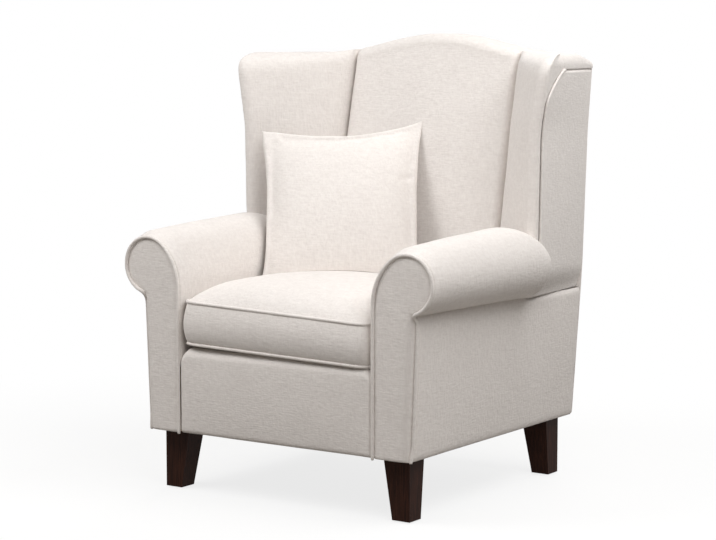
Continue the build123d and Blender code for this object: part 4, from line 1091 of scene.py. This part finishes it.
class CHAIR_OT_seat_cushion(bpy.types.Operator):
    """Loose boxed seat cushion: crowned cover blown up by cloth simulation, piping on both edges."""

    bl_idname = "chair.seat_cushion"
    bl_label = "Seat cushion"

    def execute(self, context):
        points, faces, sewn = self.boxed(context.scene.chair_padding.cushion_crown)
        made = mesh_object("seat_cushion", points, faces, finish_named("cream_chenille"))
        places = np.array([v.co for v in made.data.vertices])
        near = [int(np.argmin(np.linalg.norm(places - p, axis=1))) for p in np.array(sewn)]
        inflate(made, near, pressure=4.0, cap=7 * MM)
        move_points(made, [cushion_settle(v.co) for v in made.data.vertices])
        uneven(made, 0.8 * context.scene.chair_padding.unevenness)
        subdivide(made)
        place_piece(made, CUSHION_BODY, "upholstery", ["seat_cushion_cover", "seat_cushion_foam"], fill=0.75)
        self.piping()
        return {"FINISHED"}

    def boxed(self, crown):
        """Points, faces and sewn points of the boxed cover before it is blown up."""
        columns, levels = 56, 10
        half_x, half_y = CUSHION_HALF_X, CUSHION_HALF_Y - 3 * MM
        points, index, faces = [], {}, []

        def point_at(i, j, k):
            key = (i, j, k)
            if key not in index:
                u, v = 2 * i / columns - 1, 2 * j / columns - 1
                x, y = square_ring(half_x, half_y, CUSHION_CORNER, u, v)
                z = CUSHION_FOOT_Z + (CUSHION_SEAM_Z - CUSHION_FOOT_Z) * k / levels
                if k == levels:
                    edge = min((1 - abs(u)) * half_x, (1 - abs(v)) * half_y)
                    z += 0.5 * crown * sqrt(1 - (1 - min(edge / CROWN_EDGE, 1)) ** 2)
                    z += 0.68 * crown * ((1 - u ** 2) * (1 - v ** 2)) ** 0.8
                if k == 0:
                    z -= RING_RADIUS * 0.6 * min((1 - max(abs(u), abs(v))) * 12, 1.0)
                if 0 < k < levels:
                    swell = 1 + CUSHION_BULGE / half_x * sin(pi * k / levels)
                    x, y = x * swell, y * swell
                    front = ease((-y / half_y - 0.8) / 0.2)
                    y -= CUSHION_FRONT_BULGE * front * sin(pi * (k / levels) ** 0.7)
                index[key] = len(points)
                points.append((x + CUSHION_MIDDLE.x, y + CUSHION_MIDDLE.y, z))
            return index[key]

        for i in range(columns):
            for j in range(columns):
                for k in (0, levels):
                    faces.append(tuple(point_at(a, b, k) for a, b in
                                       ((i, j), (i + 1, j), (i + 1, j + 1), (i, j + 1))))
        border = [(i, 0) for i in range(columns)] + [(columns, j) for j in range(columns)]
        border += [(i, columns) for i in range(columns, 0, -1)] + [(0, j) for j in range(columns, 0, -1)]
        for place, (i, j) in enumerate(border):
            a, b = border[(place + 1) % len(border)]
            for k in range(levels):
                corners = ((i, j, k), (a, b, k), (a, b, k + 1), (i, j, k + 1))
                faces.append(tuple(point_at(*corner) for corner in corners))
        sewn = [points[point_at(i, j, k)] for i, j in border for k in (0, levels)]
        return points, faces, sewn

    def piping(self):
        """Two piping cords sewn into the cushion's upper and lower edges."""
        points, faces = [], []
        per_side = 40
        for z in (CUSHION_FOOT_Z, CUSHION_SEAM_Z):
            route = []
            for turn in range(4 * per_side):
                side, along = turn // per_side, 2 * (turn % per_side) / per_side - 1
                u, v = ((along, -1), (1, along), (-along, 1), (-1, -along))[side]
                x, y = square_ring(CUSHION_HALF_X, CUSHION_HALF_Y - 2.5 * MM, CUSHION_CORNER, u, v)
                route.append(cushion_settle((x + CUSHION_MIDDLE.x, y + CUSHION_MIDDLE.y, z)))
            cord, skin = tube(route, RING_RADIUS, closed=True)
            faces += [tuple(len(points) + corner for corner in face) for face in skin]
            points += cord
        made = mesh_object("seat_piping", points, faces, finish_named("cream_chenille"))
        subdivide(made)
        place_piece(made, CUSHION_BODY, "upholstery", ["seat_piping"])


class CHAIR_OT_zip(bpy.types.Operator):
    """Zip in the cushion's rear border: twill tape with its coil."""

    bl_idname = "chair.zip"
    bl_label = "Zip"

    def execute(self, context):
        half, tape_y = (ZIP_HIGH.x - ZIP_LOW.x) / 2, ZIP_LOW.y + 1.2 * MM
        points, faces = panel(np.linspace(ZIP_LOW.z, ZIP_HIGH.z, 7), np.linspace(-half, half, 40),
                              lambda z, x: ((x, tape_y, z), (x, ZIP_LOW.y, z)))
        turns, steps = 150, 8
        coil_y, coil_z = (tape_y + ZIP_HIGH.y) / 2, (ZIP_LOW.z + ZIP_HIGH.z) / 2
        coil_deep, coil_high, wire = 0.55 * MM, 2.4 * MM, 0.45 * MM
        route = []
        for step in range(turns * steps):
            turn = 2 * pi * step / steps
            x = -half + 2 * half * step / (turns * steps)
            route.append((x, coil_y + coil_deep * cos(turn), coil_z + coil_high * sin(turn)))
        cord, skin = tube(route, wire, sides=5)
        faces = faces + [tuple(len(points) + corner for corner in face) for face in skin]
        made = mesh_object("seat_zip", points + cord, faces, finish_named("zip_tape_twill"))
        place_piece(made, CUSHION_BODY, "zip_tape", ["seat_zip"])
        return {"FINISHED"}


class CHAIR_OT_scatter_cushion(bpy.types.Operator):
    """Loose scatter cushion with knife edges, blown up by cloth simulation and leant in the corner."""

    bl_idname = "chair.scatter_cushion"
    bl_label = "Scatter cushion"

    def execute(self, context):
        pad = context.scene.chair_padding
        points, faces = self.sewn_square(pad.pillow_size, pad.pillow_thick)
        made = mesh_object("scatter_cushion", points, faces, finish_named("cream_chenille"))
        inflate(made, [], pressure=2.0, cap=12 * MM)
        turn = (Matrix.Rotation(PILLOW_YAW, 4, "Z") @ Matrix.Rotation(pi / 2 - PILLOW_RECLINE, 4, "X")
                @ Matrix.Rotation(PILLOW_ROLL, 4, "Z"))
        made.data.transform(Matrix.Translation((PILLOW_LOW + PILLOW_HIGH) / 2) @ turn)
        self.settle(made)
        subdivide(made)
        place_piece(made, PILLOW_BODY, "upholstery", ["pillow_cover", "pillow_filling"], fill=0.7)
        return {"FINISHED"}

    def crease(self, u, v, side):
        """Short pulls in the front panel beside its seams, as a share of the fullness."""
        pulls = ((0.86, 0.22, 0.09, 0.035, 0.09), (-0.9, 0.62, 0.06, 0.09, 0.05))
        return sum(depth * np.exp(-((u - x) / width) ** 2 - ((v - y - 0.25 * (u - x)) / height) ** 2)
                   for x, y, width, height, depth in pulls if side > 0)

    def settle(self, made):
        """Keep the cushion clear of the seat it stands on and of the wing and back it leans on."""
        layer = bpy.context.evaluated_depsgraph_get()
        clear = 0.6 * MM
        leans = (("seat_cushion", Vector((0, 0, -1))), ("back_pad", Vector((0, 1, 0))),
                 ("wing_pad_left", Vector((-1, 0, 0))), ("arm_pad_left", Vector((-1, 0, 0))))
        for name, way in leans:
            skin = BVHTree.FromObject(bpy.data.objects[f"{name}_cloth"], layer)
            for vertex in made.data.vertices:
                hit = skin.ray_cast(vertex.co - way * 0.3, way, 0.3 + clear)[0]
                if hit:
                    vertex.co = hit - way * clear
        made.data.update()

    def sewn_square(self, size, thick):
        """Two square panels sewn together all round, their edges drawn in between the corners."""
        count = 64
        points, faces, index = [], [], {}
        for side in (1, -1):
            for i in range(count + 1):
                for j in range(count + 1):
                    u, v = 2 * i / count - 1, 2 * j / count - 1
                    edge = max(abs(u), abs(v)) == 1
                    key = (i, j, 0 if edge else side)
                    if key in index:
                        continue
                    low = 0.06 * smooth(-v)
                    pull_x = 1 - ((0.15 if u > 0 else 0.19) * (1 - v ** 2) + low) * abs(u) ** 3
                    pull_y = 1 - (0.235 if v > 0 else -0.03) * (1 - u ** 2) * abs(v) ** 3
                    blunt = 1 - 0.05 * smooth((-u - 0.7) / 0.3) * smooth((v - 0.7) / 0.3)
                    pull_x, pull_y = pull_x * blunt, pull_y * blunt
                    full = ((1 - u ** 2) * (1 - v ** 2)) ** 0.55 - self.crease(u, v, side)
                    index[key] = len(points)
                    points.append((u * pull_x * size / 2, v * pull_y * size / 2, side * 0.48 * thick * full))
            for i in range(count):
                for j in range(count):
                    corners = []
                    for a, b in ((i, j), (i + 1, j), (i + 1, j + 1), (i, j + 1)):
                        edge = a in (0, count) or b in (0, count)
                        corners.append(index[(a, b, 0 if edge else side)])
                    faces.append(tuple(corners))
        return points, faces


class CHAIR_OT_legs(bpy.types.Operator):
    """Finish of the legs and their glides: dark stained wood with softened edges."""

    bl_idname = "chair.legs"
    bl_label = "Legs"

    def execute(self, context):
        for name in ("leg_front_left", "leg_front_right", "leg_rear_left", "leg_rear_right"):
            dress(name, "stained_wenge", context.scene.chair_wood.leg_round)
        dress("leg_glides", "moulded_glide", 0.8 * MM)
        return {"FINISHED"}


def dress(name, finish, edge=0.0):
    """Give a frame node its material and softened edges."""
    node = frame["nodes"][name]
    node.data.materials.clear()
    node.data.materials.append(finish_named(finish))
    if edge:
        step = node.modifiers.new("edge", "BEVEL")
        step.width = edge
        step.segments = 3
        step.limit_method = "ANGLE"


class CHAIR_OT_inner_frame(bpy.types.Operator):
    """Finishes of the timber, springs and fittings inside the chair."""

    bl_idname = "chair.inner_frame"
    bl_label = "Inner frame"

    def execute(self, context):
        finishes = {
            "frame_timber": "planed_beech",
            "plywood": "sanded_plywood",
            "spring_steel": "oiled_spring_steel",
            "zinc_steel": "zinc_plated_steel",
            "webbing": "elastic_webbing",
            "zip_metal": "brass_zip",
        }
        for part in frame["record"]["subparts"]:
            if part["material_slot"] in finishes:
                dress(part["node"], finishes[part["material_slot"]])
        return {"FINISHED"}


class CHAIR_OT_stage(bpy.types.Operator):
    """Pale floor, soft lamps and the camera at the photograph's viewing angle."""

    bl_idname = "chair.stage"
    bl_label = "Stage"

    def execute(self, context):
        stage = context.scene.chair_stage
        self.floor(stage)
        self.world(context, stage)
        for name, (place, size) in LAMPS.items():
            self.lamp(f"{name}_lamp", place, size, getattr(stage, name))
        self.camera(context)
        context.scene.view_settings.view_transform = "Standard"
        return {"FINISHED"}

    def camera(self, context):
        """Camera at the photograph's place."""
        view = bpy.data.cameras.new("camera")
        view.lens = CAMERA_LENS
        view.sensor_width = CAMERA_SENSOR
        camera = bpy.data.objects.new("camera", view)
        context.scene.collection.objects.link(camera)
        flat = cos(CAMERA_ELEVATION)
        back = Vector((sin(CAMERA_AZIMUTH) * flat, -cos(CAMERA_AZIMUTH) * flat, sin(CAMERA_ELEVATION)))
        camera.location = CAMERA_AIM + back * CAMERA_DISTANCE
        camera.rotation_euler = (-back).to_track_quat("-Z", "Y").to_euler()
        context.scene.camera = camera

    def seen(self, tree, path):
        """Output that is 1 where the camera or a reflection looks."""
        rays = {0: path.outputs["Is Camera Ray"], 1: path.outputs["Is Glossy Ray"]}
        return add_node(tree, "ShaderNodeMath", rays, operation="MAXIMUM").outputs[0]

    def floor(self, stage):
        """Round pale floor that looks white to the camera and keeps a soft shadow."""
        made, tree, shader, place = new_material("pale_floor")
        path = add_node(tree, "ShaderNodeLightPath")
        tint = add_node(tree, "ShaderNodeMix",
                        {"Factor": path.outputs["Is Diffuse Ray"], "A": stage.floor, "B": stage.bounce},
                        data_type="RGBA")
        feed(tree, shader, {"Base Color": tint.outputs["Result"], "Roughness": 0.9})
        glow = add_node(tree, "ShaderNodeEmission", {"Strength": 1.0}).outputs[0]
        away = add_node(tree, "ShaderNodeVectorMath", {0: place}, operation="LENGTH").outputs["Value"]
        fade = add_node(tree, "ShaderNodeMapRange",
                        {"Value": away, "From Min": FLOOR_FADE[0], "From Max": FLOOR_FADE[1],
                         "To Min": stage.floor_glow}, interpolation_type="SMOOTHSTEP").outputs[0]
        share = add_node(tree, "ShaderNodeMath", {0: self.seen(tree, path), 1: fade}, operation="MULTIPLY")
        mix = add_node(tree, "ShaderNodeMixShader", {0: share.outputs[0], 1: shader.outputs[0], 2: glow})
        feed(tree, tree.nodes["Material Output"], {"Surface": mix.outputs[0]})
        mesh = bpy.data.meshes.new("floor")
        work = bmesh.new()
        bmesh.ops.create_circle(work, cap_ends=True, segments=96, radius=FLOOR_RADIUS)
        work.to_mesh(mesh)
        work.free()
        mesh.materials.append(made)
        floor = bpy.data.objects.new("floor", mesh)
        bpy.context.scene.collection.objects.link(floor)

    def world(self, context, stage):
        """Even fill light, with plain white where the camera looks past the chair."""
        world = bpy.data.worlds.new("studio")
        world.use_nodes = True
        tree = world.node_tree
        fill = tree.nodes["Background"]
        feed(tree, fill, {"Color": linear("#FFFDFA"), "Strength": stage.world})
        white = {"Color": linear("#FFFFFF"), "Strength": 1.0}
        plain = add_node(tree, "ShaderNodeBackground", white).outputs[0]
        path = add_node(tree, "ShaderNodeLightPath")
        past = add_node(tree, "ShaderNodeMath",
                        {0: self.seen(tree, path), 1: path.outputs["Is Transmission Ray"]},
                        operation="MAXIMUM")
        mix = add_node(tree, "ShaderNodeMixShader", {0: past.outputs[0], 1: fill.outputs[0], 2: plain})
        feed(tree, tree.nodes["World Output"], {"Surface": mix.outputs[0]})
        context.scene.world = world

    def lamp(self, name, place, size, power):
        """Large soft square lamp aimed at the middle of the chair."""
        light = bpy.data.lights.new(name, "AREA")
        light.energy = power
        light.size = size
        made = bpy.data.objects.new(name, light)
        made.location = place
        made.rotation_euler = (LAMP_AIM - Vector(place)).to_track_quat("-Z", "Y").to_euler()
        bpy.context.scene.collection.objects.link(made)


class CHAIR_PT_panel(bpy.types.Panel):
    """Lists the steps that dress the chair."""

    bl_idname = "CHAIR_PT_panel"
    bl_label = "Wingback Chair"
    bl_space_type = "VIEW_3D"
    bl_region_type = "UI"
    bl_category = "Chair"

    def draw(self, context):
        for step in STEPS:
            self.layout.operator(step.bl_idname)
        for group in GROUPS:
            for name in group[1].__annotations__:
                self.layout.prop(getattr(context.scene, group[0]), name)


STEPS = (CHAIR_OT_arms, CHAIR_OT_facings, CHAIR_OT_wings, CHAIR_OT_inside_back, CHAIR_OT_outside_panels,
         CHAIR_OT_front_border, CHAIR_OT_seat_deck, CHAIR_OT_seat_cushion, CHAIR_OT_zip,
         CHAIR_OT_scatter_cushion, CHAIR_OT_legs, CHAIR_OT_inner_frame, CHAIR_OT_stage)
GROUPS = (("chair_cloth", ChairCloth), ("chair_padding", ChairPadding), ("chair_wood", ChairWood),
          ("chair_stage", ChairStage))


def register():
    """Register the property groups, the steps and the panel."""
    for name, group in GROUPS:
        bpy.utils.register_class(group)
        setattr(bpy.types.Scene, name, PointerProperty(type=group))
    for step in (*STEPS, CHAIR_PT_panel):
        bpy.utils.register_class(step)


def unregister():
    """Undo register."""
    for step in (CHAIR_PT_panel, *reversed(STEPS)):
        bpy.utils.unregister_class(step)
    for name, group in reversed(GROUPS):
        delattr(bpy.types.Scene, name)
        bpy.utils.unregister_class(group)


def main():
    """Dress the chair."""
    register()
    for step in STEPS:
        family, name = step.bl_idname.split(".")
        getattr(getattr(bpy.ops, family), name)()


if __name__ == "__main__":
    main()
